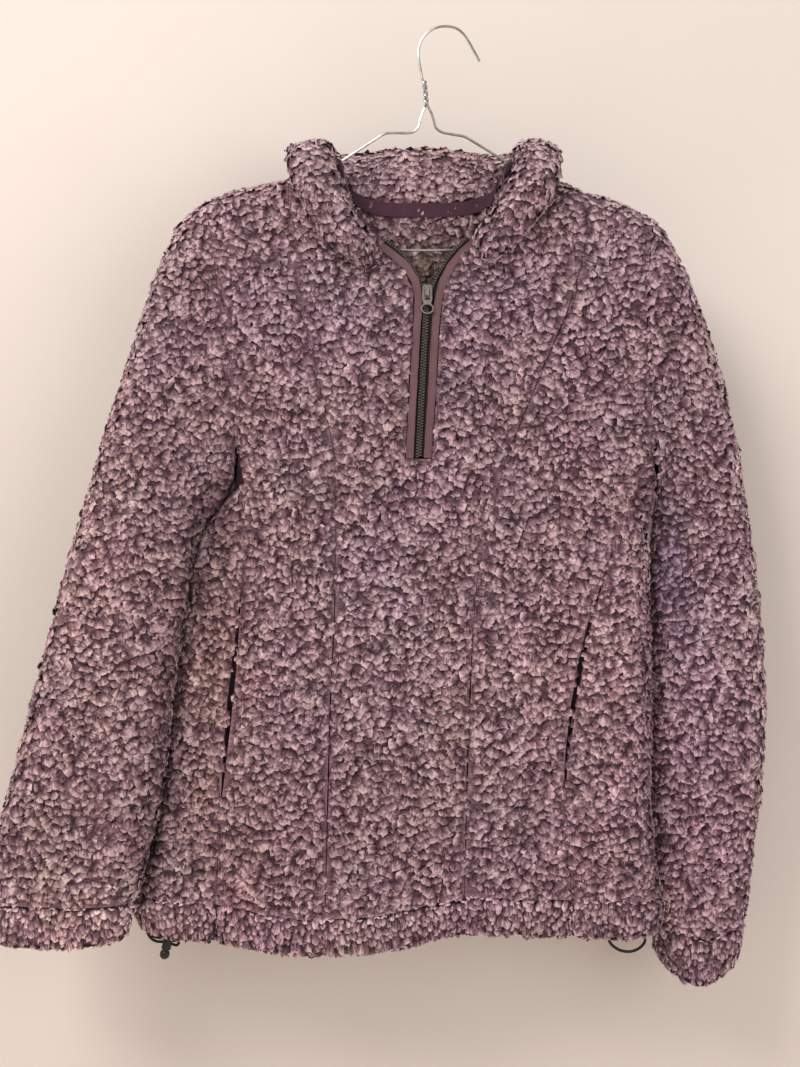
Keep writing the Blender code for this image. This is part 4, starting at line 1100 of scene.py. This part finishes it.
@dataclass
class FleecePiece:
    """A piece of fleece: its backing, and the pile on it.

    Args:
        node: Node of the model that it stands for.
        flat: Width and length it was cut to, in metres; not used.
        area: Area of the cut, in square metres; not used.
        pile: Its pile.
        face: Faces of the wall that carry the pile.
        edge: Longest edge of the skin's mesh, in millimetres.
        press_ends: Whether the pile is pressed down at its borders.
        parting: How near to those borders tufts grow, in millimetres.
        lined: Height above which the inner face shows its own pile, in metres.
        also: Places on further faces of the wall that carry the pile.
    """

    node: str
    flat: tuple[float, float]
    area: float
    pile: Pile = Pile()
    face: Face = Face.OUTER
    edge: float = 7.5
    press_ends: bool = True
    parting: float = 1.2
    lined: float | None = None
    also: tuple[Point, ...] = ()

    def sides(self, wall: Surface) -> tuple[Surface, Surface]:
        """The two wide faces of the wall.

        Args:
            wall: The whole wall.

        Returns:
            Its outer face with the further places in it, and its inner face.
        """
        groups = wall.parts()
        heart = wall.points.mean(axis=0) * (1, 0, 1)
        middles = wall.corners().mean(axis=1)
        outward = ((middles - heart) * wall.areas()).sum(axis=1)
        outer, inner = sorted(groups[:2], key=lambda group: outward[group].sum(), reverse=True)
        for place in self.also:
            nearest = np.linalg.norm(middles - np.array(place), axis=1).argmin()
            outer = np.concatenate([outer, *(group for group in groups[2:] if nearest in group)])
        return wall.only(outer), wall.only(inner)

    def backing(self, wall: Surface, carried: Surface, finish: bpy.types.Material) -> bpy.types.Object:
        """The ground that the pile grows from, with the pile's depth taken off.

        Args:
            wall: The whole wall.
            carried: Its face that carries the pile.
            finish: Its material.

        Returns:
            The ground's object.
        """
        points = wall.points.copy()
        keys = {tuple(key): i for i, key in enumerate(np.round(carried.points / WELD * 2).astype(np.int64))}
        normals = carried.normals()
        for i, key in enumerate(np.round(points / WELD * 2).astype(np.int64)):
            found = keys.get(tuple(key))
            if found is not None:
                points[i] -= normals[found] * (self.pile.deep + BELOW_SKIN) * MM
        made = Surface(points, wall.faces, wall.spacing).mesh("backing_" + self.node)
        made.data.materials.append(finish)
        return made

    def tint(self, points: np.ndarray, normals: np.ndarray, flat: np.ndarray) -> tuple[np.ndarray, np.ndarray]:
        """How the pile's colour and depth change over the piece.

        Args:
            points: The points.
            normals: Unit normals there.
            flat: How far the pile is pressed down by the seams.

        Returns:
            Factors on its colour, which hold the pile's own tints and painted light and shade, and how far it is
            pressed down in all.
        """
        tint = np.ones((len(points), 3))
        for patch in PATCHES:
            share = patch.share(points, normals)
            tint *= 1 + (np.array(patch.tint) - 1) * share[:, None]
            flat = np.maximum(flat, patch.flat * share)
        tint = tint ** TINT_AND_SHADE_STRENGTH
        broad = sum(Lattice(size, seed).smooth(points) * 0.5 for size, seed in CLOUDS)
        return tint * (1 + broad * np.array(CLOUD_TINT)), flat

    def grown(self, carried: Surface, rng: np.random.Generator) -> list[np.ndarray]:
        """Pile on a smooth surface.

        Args:
            carried: The surface.
            rng: Source of random numbers.

        Returns:
            Points, faces, levels, tints and places on the curls.
        """
        carried.spacing = np.full(len(carried.points), self.edge * MM)
        base = carried.refined(ROUGH).smoothed(ROUNDS[0]).refined().smoothed(ROUNDS[1])
        swell = sum(swell.height(base.points) for swell in SWELLS)
        base.points = base.points + base.normals() * swell[:, None]
        flat, away = np.zeros(len(base.points)), np.full(len(base.points), 9.0)
        if self.press_ends:
            away = base.from_border(self.pile.seam * 3 * MM) / MM
            flat = self.pile.pressed * (1 - eased(away, 0.0, self.pile.seam))
        normals = base.normals()
        tint, flat = self.tint(base.points, normals, flat)
        if self.pile is LINING:
            tint *= 1 + (np.array(LINING_SHADE) - 1) * (1 - eased(base.points[:, 2:3], *LINING_FADE))
        skin, level = self.pile.skin(base)
        chosen, share = self.pile.roots(base, rng)

        def at_roots(values: np.ndarray) -> np.ndarray:
            """Values of the points, read at the roots."""
            picked = values[base.faces[chosen]]
            return (picked * share.reshape(share.shape + (1,) * (picked.ndim - 2))).sum(axis=1)

        keep = at_roots(away) > self.parting
        chosen, share = chosen[keep], share[keep]
        places, out, low, hue_and_shade = (at_roots(v) for v in (base.points, normals, flat, tint))
        out /= np.maximum(np.linalg.norm(out, axis=1, keepdims=True), TINY)
        hue_and_shade *= 1 + rng.uniform(-TUFT_SHADE, TUFT_SHADE, (len(hue_and_shade), 1))
        points, faces, high, lock = self.pile.tufts(places, out, low, rng)
        each = len(points) // max(len(places), 1)
        tips = rng.choice(np.nonzero(high > TIP_LEVEL)[0], int(len(places) * self.pile.fibres))
        blades, blade_faces = self.pile.loose(points[tips], out[tips // each], rng)
        sizes = np.cumsum([0, len(skin.points), len(points)])
        return [
            np.concatenate([skin.points, points, blades]),
            np.concatenate([skin.faces, faces + sizes[1], blade_faces + sizes[2]]),
            np.concatenate([np.clip(level + MATTED * flat, 0, 1), high, np.full(len(blades), FIBRE_LEVEL)]),
            np.concatenate([tint, hue_and_shade.repeat(each, axis=0), hue_and_shade[tips // each].repeat(5, axis=0)]),
            np.concatenate([skin.points * SKIN_GRAIN, lock, np.zeros_like(blades)]),
        ]

    def build(self, ground: bpy.types.Material, curls: bpy.types.Material) -> int:
        """Args:
            ground: Material of the ground.
            curls: Material of the pile.

        Returns:
            How many triangles they have.
        """
        wall = Surface.of_node(self.node)
        outer, inner = (wall, wall) if self.face is Face.ALL else self.sides(wall)
        backing = self.backing(wall, outer, ground)
        rng = np.random.default_rng(self.pile.seed + sum(map(ord, self.node)))
        made = [self.grown(outer, rng)]
        if self.lined is not None:
            middle = inner.corners().mean(axis=1)
            high = (middle[:, 2] > self.lined) & (np.abs(middle[:, 0] - NECK_MIDDLE) < NECK_REACH)
            lining = FleecePiece(self.node, self.flat, self.area, LINING, press_ends=False)
            made.append(lining.grown(inner.only(high), rng))
        start = np.cumsum([0] + [len(part[0]) for part in made])
        points, _, level, tint, lock = (np.concatenate(values) for values in zip(*made))
        faces = np.concatenate([part[1] + first for part, first in zip(made, start)])
        pile = Surface(points, faces, np.zeros(len(points))).mesh("pile_" + self.node, pile=level, tint=tint, lock=lock)
        pile.data.materials.append(curls)
        for piece in (backing, pile):
            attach(piece, "garment")
        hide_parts(self.node)
        return len(faces) + len(wall.faces)


LINING_SHADE = (0.98, 1.12, 0.86)
LINING = Pile(deep=-0.5, proud=3.4, fibres=0.25, seed=29)
BEHIND = Pile(pitch=6.3, wide=12.4, long=10.6, across=5)
FLEECE = (
    FleecePiece("front_centre", (0.285, 0.705), 0.100, parting=2.4, also=((0.110, -0.009, -0.147),)),
    FleecePiece("front_side_left", (0.125, 0.690), 0.057, parting=1.9),
    FleecePiece("front_side_right", (0.180, 0.665), 0.062, parting=1.9),
    FleecePiece("side_panel_left", (0.115, 0.430), 0.026, parting=0.2),
    FleecePiece("side_panel_right", (0.105, 0.425), 0.030, parting=0.2),
    FleecePiece("back", (0.500, 0.720), 0.280, pile=BEHIND, edge=9.0, lined=-0.30),
    FleecePiece("sleeve_left", (0.420, 0.690), 0.155),
    FleecePiece("sleeve_right", (0.360, 0.700), 0.130),
    FleecePiece("collar", (0.400, 0.070), 0.0260, pile=Pile(seam=3.0), face=Face.ALL, press_ends=False),
)
BAND = Pile(pitch=4.5, wide=6.4, long=10.5, deep=2.6, proud=0.8, across=4, wander=14,
            swirl=20, seam=4.0, seed=11)
BANDS = tuple(
    FleecePiece(node, flat, area, pile=BAND, face=Face.ALL, press_ends=False) for node, flat, area in (
        ("hem_band_centre", (0.325, 0.036), 0.0112),
        ("hem_band_left", (0.075, 0.036), 0.0026),
        ("hem_band_right", (0.088, 0.036), 0.0030),
        ("hem_band_back", (0.490, 0.036), 0.0165),
        ("cuff_left", (0.285, 0.036), 0.0097),
        ("cuff_right", (0.200, 0.040), 0.0073),
    )
)


# ---- Zip and tapes ----


WAVER = ((1.0, 7.0, 17), (0.5, 2.6, 18))  # Shares, sizes in millimetres and seeds of a strip's waver
SHARP = 50  # Least angle of a strip's sharp edges, in degrees


@dataclass(frozen=True)
class Strip:
    """A smooth piece of cloth that keeps its solid's form.

    Args:
        node: Node of the model that it stands for.
        flat: Width and length it was cut to, in metres; not used.
        area: Area that it shows, in square metres; not used.
        slot: Its material slot; not used.
        edge: Longest edge of its mesh, in millimetres.
        uneven: How far its surface wavers, in millimetres.
    """

    node: str
    flat: tuple[float, float]
    area: float
    slot: Slot = Slot.TAPE
    edge: float = 2.2
    uneven: float = 0.25

    def build(self, finish: bpy.types.Material) -> None:
        """Args:
            finish: Its material.
        """
        wall = Surface.of_node(self.node)
        wall.spacing = np.full(len(wall.points), self.edge * MM)
        fine = wall.refined()
        waver = sum(share * Lattice(size * MM, seed).smooth(fine.points) for share, size, seed in WAVER)
        fine.points = fine.points + waver * self.uneven * MM
        made = fine.mesh("cloth_" + self.node)
        made.data.set_sharp_from_angle(angle=math.radians(SHARP))
        made.data.materials.append(finish)
        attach(made, "garment")
        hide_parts(self.node)
        LOG.info("%s: %d triangles", self.node, len(fine.faces))


STRIPS = (
    Strip("neck_tape", (0.024, 0.150), 0.0019),
    Strip("zip_facing_left", (0.024, 0.235), 0.0018),
    Strip("zip_facing_right", (0.024, 0.235), 0.0018),
    Strip("zip_tape_left", (0.015, 0.240), 0.0024, edge=3.4, uneven=0.12),
    Strip("zip_tape_right", (0.015, 0.240), 0.0024, edge=3.4, uneven=0.12),
    Strip("pocket_bag_left", (0.180, 0.230), 0.0198, Slot.LINING, 7.0, 0.8),
    Strip("pocket_bag_right", (0.180, 0.230), 0.0196, Slot.LINING, 7.0, 0.8),
)


@dataclass(frozen=True)
class Teeth:
    """The rows of metal teeth, and the stitches down the facings beside them.

    Args:
        pitch: Distance between the teeth of one row, in millimetres.
        high: Height of a tooth along the row, in millimetres.
        reach: How far a tooth stands out from the row's middle, away from and towards the other row.
        front: Y of the teeth's fronts, in millimetres.
        deep: Depth of a tooth, in millimetres.
        stitch: Length of a stitch, in millimetres.
        stitch_pitch: Distance between stitches, in millimetres.
        inset: How far the stitches lie from the facing's edge at the pile, in millimetres.
        taper: How much of its width a tooth keeps at its front.
        thread: Half the width of a stitch, in millimetres.
        proud: Height of a stitch's middle over its ends, in millimetres.
    """

    pitch: float = 2.6
    high: float = 1.35
    reach: tuple[float, float] = (1.2, 2.3)
    front: float = -22.9
    deep: float = 1.6
    stitch: float = 2.1
    stitch_pitch: float = 3.0
    inset: tuple[float, float] = (1.6, 6.6)
    taper: float = 0.7
    thread: float = 0.28
    proud: float = 0.4

    def block(self, centre: Vector, along: Vector, toward: Vector, start: int) -> tuple[list, list]:
        """One tooth, narrower at its front.

        Args:
            centre: Its middle.
            along: The way that the row runs.
            toward: The way to the other row.
            start: Number of its first corner.

        Returns:
            Its corners and faces.
        """
        out = Vector((0, -1, 0))
        corners = []
        for depth, share in ((0.0, 1.0), (self.deep, self.taper)):
            for a, b in ((-1, -1), (1, -1), (1, 1), (-1, 1)):
                side = self.reach[1] if a > 0 else -self.reach[0]
                corners.append((centre + toward * side * share + along * b * self.high / 2 * share
                                + out * (depth - self.deep)) * MM)
        quads = ((4, 5, 6, 7), (0, 1, 5, 4), (1, 2, 6, 5), (2, 3, 7, 6), (3, 0, 4, 7))
        return corners, [tuple(start + i for i in quad) for quad in quads]

    def rows(self, finish: bpy.types.Material) -> None:
        """Builds both rows, the teeth of one between those of the other.

        Args:
            finish: Their material.
        """
        corners, quads = [], []
        for route, sign, first in ((LEFT_ROW, 1, 0.0), (RIGHT_ROW, -1, 0.5)):
            path = curve_through([Vector((x, self.front, z)) for x, z in route], 0.2)
            for place, along in walked(path, self.pitch, first * self.pitch):
                toward = Vector((along.z, 0, -along.x)) * sign
                made, faces = self.block(place, along, toward, len(corners))
                corners += made
                quads += faces
        self.joined("zip_teeth", corners, quads, finish, Slot.NICKEL)

    def stitches(self, finish: bpy.types.Material) -> None:
        """Builds the stitches down both facings.

        Args:
            finish: Their material.
        """
        corners, faces = [], []
        for node, route, sign in (("zip_facing_left", LEFT_SLIT, 1), ("zip_facing_right", RIGHT_SLIT, -1)):
            wall = Surface.of_node(node)
            tree = BVHTree.FromPolygons(wall.points.tolist(), wall.faces.tolist())
            path = curve_through([Vector((x, 0, z)) for x, z in route], 0.2)
            for inset in self.inset:
                for place, along in walked(path, self.stitch_pitch, 1.0):
                    across = Vector((along.z, 0, -along.x)) * sign
                    middle = place + across * inset
                    hit = tree.ray_cast(Vector((middle.x * MM, -1, middle.z * MM)), Vector((0, 1, 0)))[0]
                    if hit is None:
                        continue
                    start = len(corners)
                    for share, rise in ((-0.5, 0.0), (0.0, self.proud), (0.5, 0.0)):
                        for side, drop in ((-self.thread, 0.0), (0.0, -0.3), (self.thread, 0.0)):
                            corners.append(hit + (along * share * self.stitch + across * side
                                                  + Vector((0, drop - rise, 0))) * MM)
                    for i in (0, 1, 3, 4):
                        faces.append(tuple(start + j for j in (i, i + 1, i + 4, i + 3)))
        self.joined("facing_stitches", corners, faces, finish, Slot.TAPE)

    @staticmethod
    def joined(name: str, corners: list, faces: list, finish: bpy.types.Material, slot: Slot) -> None:
        """Makes one piece that rides on the garment.

        Args:
            name: Its name.
            corners: Its corners.
            faces: Its faces.
            finish: Its material.
            slot: Its material slot; not used.
        """
        mesh = bpy.data.meshes.new(name)
        mesh.from_pydata([tuple(c) for c in corners], [], faces)
        mesh.materials.append(finish)
        made = placed(name, mesh)
        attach(made, "garment")
        LOG.info("%s: %d faces", name, len(faces))


def walked(path: list[Vector], pitch: float, first: float) -> list[tuple[Vector, Vector]]:
    """Places along a path at even distances.

    Args:
        path: Points of the path.
        pitch: Distance between the places.
        first: Distance to the first place.

    Returns:
        The places, each with the path's direction.
    """
    found, due, gone = [], first, 0.0
    for a, b in zip(path, path[1:]):
        long = (b - a).length
        while due <= gone + long:
            found.append((a.lerp(b, (due - gone) / long), (b - a).normalized()))
            due += pitch
        gone += long
    return found


# Middles of the rows of teeth, and the edges of the slit, from the bottom up, as (x, z) in millimetres
LEFT_ROW = (
    (-28.1, -396), (-21.8, -274), (-21.15, -261), (-20.9, -252),
    (-24.0, -241), (-31, -228), (-43, -211), (-57, -200),
)
RIGHT_ROW = (
    (-24.9, -396), (-18.6, -274), (-17.95, -261), (-17.2, -252),
    (-13.4, -241), (-6.8, -228), (3, -213), (18, -198),
)
LEFT_SLIT = ((-38.7, -398), (-35.5, -340), (-32.4, -283), (-31.2, -245), (-43.2, -224), (-64, -209))
RIGHT_SLIT = ((-14.5, -398), (-10.5, -340), (-7.4, -283), (-2.5, -245), (9.6, -221), (27, -205))


# ---- Cords ----


@dataclass(frozen=True)
class Drawcord:
    """An elastic cord that loops out of the hem.

    Args:
        node: Node of the model that it stands for.
        route: Its route, in millimetres.
        diameter: Its thickness, in millimetres.
        lock: Nodes of the cord lock on it; not used.
        step: Distance between the points along it, in millimetres.
    """

    node: str
    route: tuple[Point, ...]
    diameter: float = 2.6
    lock: tuple[str, ...] = ()
    step: float = 1.2

    def build(self, finish: bpy.types.Material) -> None:
        """Args:
            finish: Its material.
        """
        path = curve_through([Vector(p) * MM for p in self.route], self.step * MM)
        curve = bpy.data.curves.new("cord_" + self.node, "CURVE")
        curve.dimensions = "3D"
        curve.bevel_depth = self.diameter / 2 * MM
        curve.bevel_resolution = 3
        curve.use_fill_caps = True
        spline = curve.splines.new("POLY")
        spline.points.add(len(path) - 1)
        for point, place in zip(spline.points, path):
            point.co = (*place, 1.0)
        curve.materials.append(finish)
        made = placed(curve.name, curve)
        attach(made, "garment")
        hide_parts(self.node)


def curve_through(points: list[Vector], step: float) -> list[Vector]:
    """A smooth curve through the points.

    Args:
        points: Places on the curve.
        step: Distance between the points of the result, in metres.

    Returns:
        Points along the curve.
    """
    found = []
    for i, (a, b) in enumerate(zip(points, points[1:])):
        before = points[i - 1] if i else 2 * a - b
        after = points[i + 2] if i + 2 < len(points) else 2 * b - a
        chord = (b - a).length
        lead = chord / ((a - before).length + chord) * (b - before)
        trail = chord / ((after - b).length + chord) * (after - a)
        count = max(2, round(chord / step))
        for k in range(count):
            t = k / count
            found.append((2 * t**3 - 3 * t**2 + 1) * a + (t**3 - 2 * t**2 + t) * lead
                         + (3 * t**2 - 2 * t**3) * b + (t**3 - t**2) * trail)
    return found + [points[-1]]


CORDS = (
    Drawcord("drawcord_left", (
        (-268.6, -15, -831), (-266.6, -13.5, -832.6), (-263.8, -11.5, -833.8), (-259.8, -10, -834.9),
        (-254.9, -10, -836.05), (-250, -10, -837.2), (-247, -10, -836.9), (-245, -10, -839.1), (-247, -10, -841.3),
        (-250.7, -10, -840.3), (-255.6, -10, -839.2), (-260.5, -10, -838.1), (-265.6, -10.8, -837.4),
        (-270, -12.5, -834), (-272.6, -14, -829.3),
    ), lock=("cord_lock_barrel", "cord_lock_plunger")),
    Drawcord("drawcord_right", (
        (146, -18, -832.5), (147, -17.5, -836), (151, -17, -840.5), (157.5, -17, -844), (166, -16.5, -845),
        (174, -15, -842.6), (179.5, -13, -837.6), (179.5, -11.5, -833), (175, -11.5, -831.4), (170, -13, -833.8),
        (165, -15, -834.8), (160.5, -17, -834.6), (158.5, -18, -832.7),
    )),
)


# ---- Studio ----


@dataclass(frozen=True)
class Studio:
    """The camera, the wall and floor behind the garment, and soft lights.

    Args:
        camera_at: Place of the camera.
        lens: Focal length, in millimetres.
        sensor: Width of the camera's sensor, in millimetres.
        wall_y: Where the wall stands.
        floor_z: Where the floor lies.
        reach: How far the floor reaches to each side and to the front.
        top: Height of the wall's top.
        lights: Name, place, aim, size in metres, power in watts and colour of each light.
        air: Colour of the light from all round.
        air_strength: Its strength.
    """

    camera_at: Point = (-0.0432, -1.25, -0.4655)
    lens: float = 45.84
    sensor: float = 36.0
    wall_y: float = 0.11
    floor_z: float = -1.35
    reach: float = 3.0
    top: float = 2.2
    lights: tuple[tuple[str, Point, Point, float, float, Colour], ...] = (
        ("key", (-1.3, -1.5, 1.2), (-0.05, 0, -0.45), 1.1, 44.0, (1.0, 0.96, 0.92)),
        ("fill", (1.6, -1.8, -0.3), (0.0, 0, -0.6), 1.8, 17.0, (1.0, 0.98, 0.98)),
    )
    air: Colour = (1.0, 0.97, 0.95)
    air_strength: float = 0.43

    def camera(self) -> None:
        """Places the camera where the photograph was taken from."""
        data = bpy.data.cameras.new("camera")
        data.lens = self.lens
        data.sensor_width = self.sensor
        made = placed("camera", data)
        made.location = self.camera_at
        made.rotation_euler = (math.radians(90), 0, 0)
        bpy.context.scene.camera = made

    def plaster(self) -> bpy.types.Material:
        """Pale matt paint, see-through from behind.

        Returns:
            The material.
        """
        g = Graph("pale_paint")
        cloud = g.noise(400.0, 2.0)
        colour = g.ramp(cloud, (0.2, (0.78, 0.70, 0.64)), (0.8, (0.84, 0.76, 0.70)))
        g.bump(g.noise(3.0, 3.0), 0.1, 0.4)
        both = g.add("MixShader", Fac=g.add("NewGeometry").outputs["Backfacing"])
        g.put(both.inputs[1], g.shader.outputs[0])
        g.put(both.inputs[2], g.add("BsdfTransparent").outputs[0])
        g.put(g.material.node_tree.nodes["Material Output"].inputs["Surface"], both.outputs[0])
        return g.finish(colour, 0.9, Specular_IOR_Level=0.1)

    def build(self) -> None:
        """Builds the floor, the wall and the lights."""
        paint = self.plaster()
        side, back, low = self.reach, self.wall_y, self.floor_z
        for name, corners in (
            ("floor", ((-side, -side, low), (side, -side, low), (side, back, low), (-side, back, low))),
            ("wall", ((-side, back, low), (side, back, low), (side, back, self.top), (-side, back, self.top))),
        ):
            mesh = bpy.data.meshes.new(name)
            mesh.from_pydata(corners, [], [(0, 1, 2, 3)])
            mesh.materials.append(paint)
            placed(name, mesh)
        for name, place, aim, size, power, colour in self.lights:
            light = bpy.data.lights.new(name, "AREA")
            light.size = size
            light.energy = power
            light.color = colour
            made = placed(name, light)
            made.location = place
            made.rotation_euler = (Vector(aim) - Vector(place)).to_track_quat("-Z", "Y").to_euler()
        world = bpy.data.worlds.new("room")
        world.use_nodes = True
        background = world.node_tree.nodes["Background"]
        background.inputs[0].default_value = (*self.air, 1.0)
        background.inputs[1].default_value = self.air_strength
        bpy.context.scene.world = world


def dressed(nodes: tuple[str, ...], finish: bpy.types.Material) -> None:
    """Dresses nodes of the model.

    Args:
        nodes: Their names.
        finish: Their material.
    """
    for name in nodes:
        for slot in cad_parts[name].material_slots:
            slot.material = finish


def main() -> None:
    """Builds the scene in order, and reports each piece."""
    logging.basicConfig(level=logging.INFO, format="%(message)s")
    studio = Studio()
    studio.camera()
    bpy.context.scene.view_settings.view_transform = "Standard"
    elastic = DarkFinish("black_elastic_braid", (0.010, 0.009, 0.010), 0.75, 0.18).material()
    for cord in CORDS:
        cord.build(elastic)
    studio.build()
    dressed(("hanger_hook", "hanger_arm_left", "hanger_arm_right", "hanger_bar"),
            MetalFinish("galvanised_steel", (0.62, 0.61, 0.59), (0.40, 0.39, 0.37), 0.34, 5.0).material())
    dressed(("zip_slider", "zip_pull"),
            MetalFinish("dulled_nickel", (0.47, 0.42, 0.38), (0.26, 0.23, 0.21), 0.36, 2.0).material())
    dressed(("cord_lock_barrel", "cord_lock_plunger"),
            DarkFinish("black_moulding", (0.010, 0.009, 0.010), 0.42).material())
    facing = KnitFinish("facing_knit", (0.150, 0.078, 0.088), 0.9).material()
    tape = KnitFinish("tape_knit", (0.066, 0.024, 0.042), 0.8, False).material()
    weave = KnitFinish("zip_weave", (0.030, 0.022, 0.024), 0.6).material()
    pocket = KnitFinish("pocket_knit", (0.13, 0.058, 0.094), 1.2).material()
    cloth = {"neck": tape, "zip_facing": facing, "zip_tape": weave, "pocket": pocket}
    for strip in STRIPS:
        strip.build(next(finish for start, finish in cloth.items() if strip.node.startswith(start)))
    teeth = Teeth()
    teeth.rows(MetalFinish("dark_teeth", (0.36, 0.31, 0.27), (0.10, 0.085, 0.08), 0.30, 1.2).material())
    teeth.stitches(KnitFinish("thread", (0.17, 0.10, 0.11), 0.5).material())
    # The backing is near black: painted shade deep in the pile
    ground = KnitFinish("fleece_ground", (0.030, 0.011, 0.020), 1.6).material()
    curls = FleeceFinish().material()
    total = 0
    for piece in FLEECE + BANDS:
        count = piece.build(ground, curls)
        total += count
        LOG.info("%s: %d triangles", piece.node, count)
    LOG.info("fleece in all: %d triangles", total)


if __name__ == "__main__":
    main()
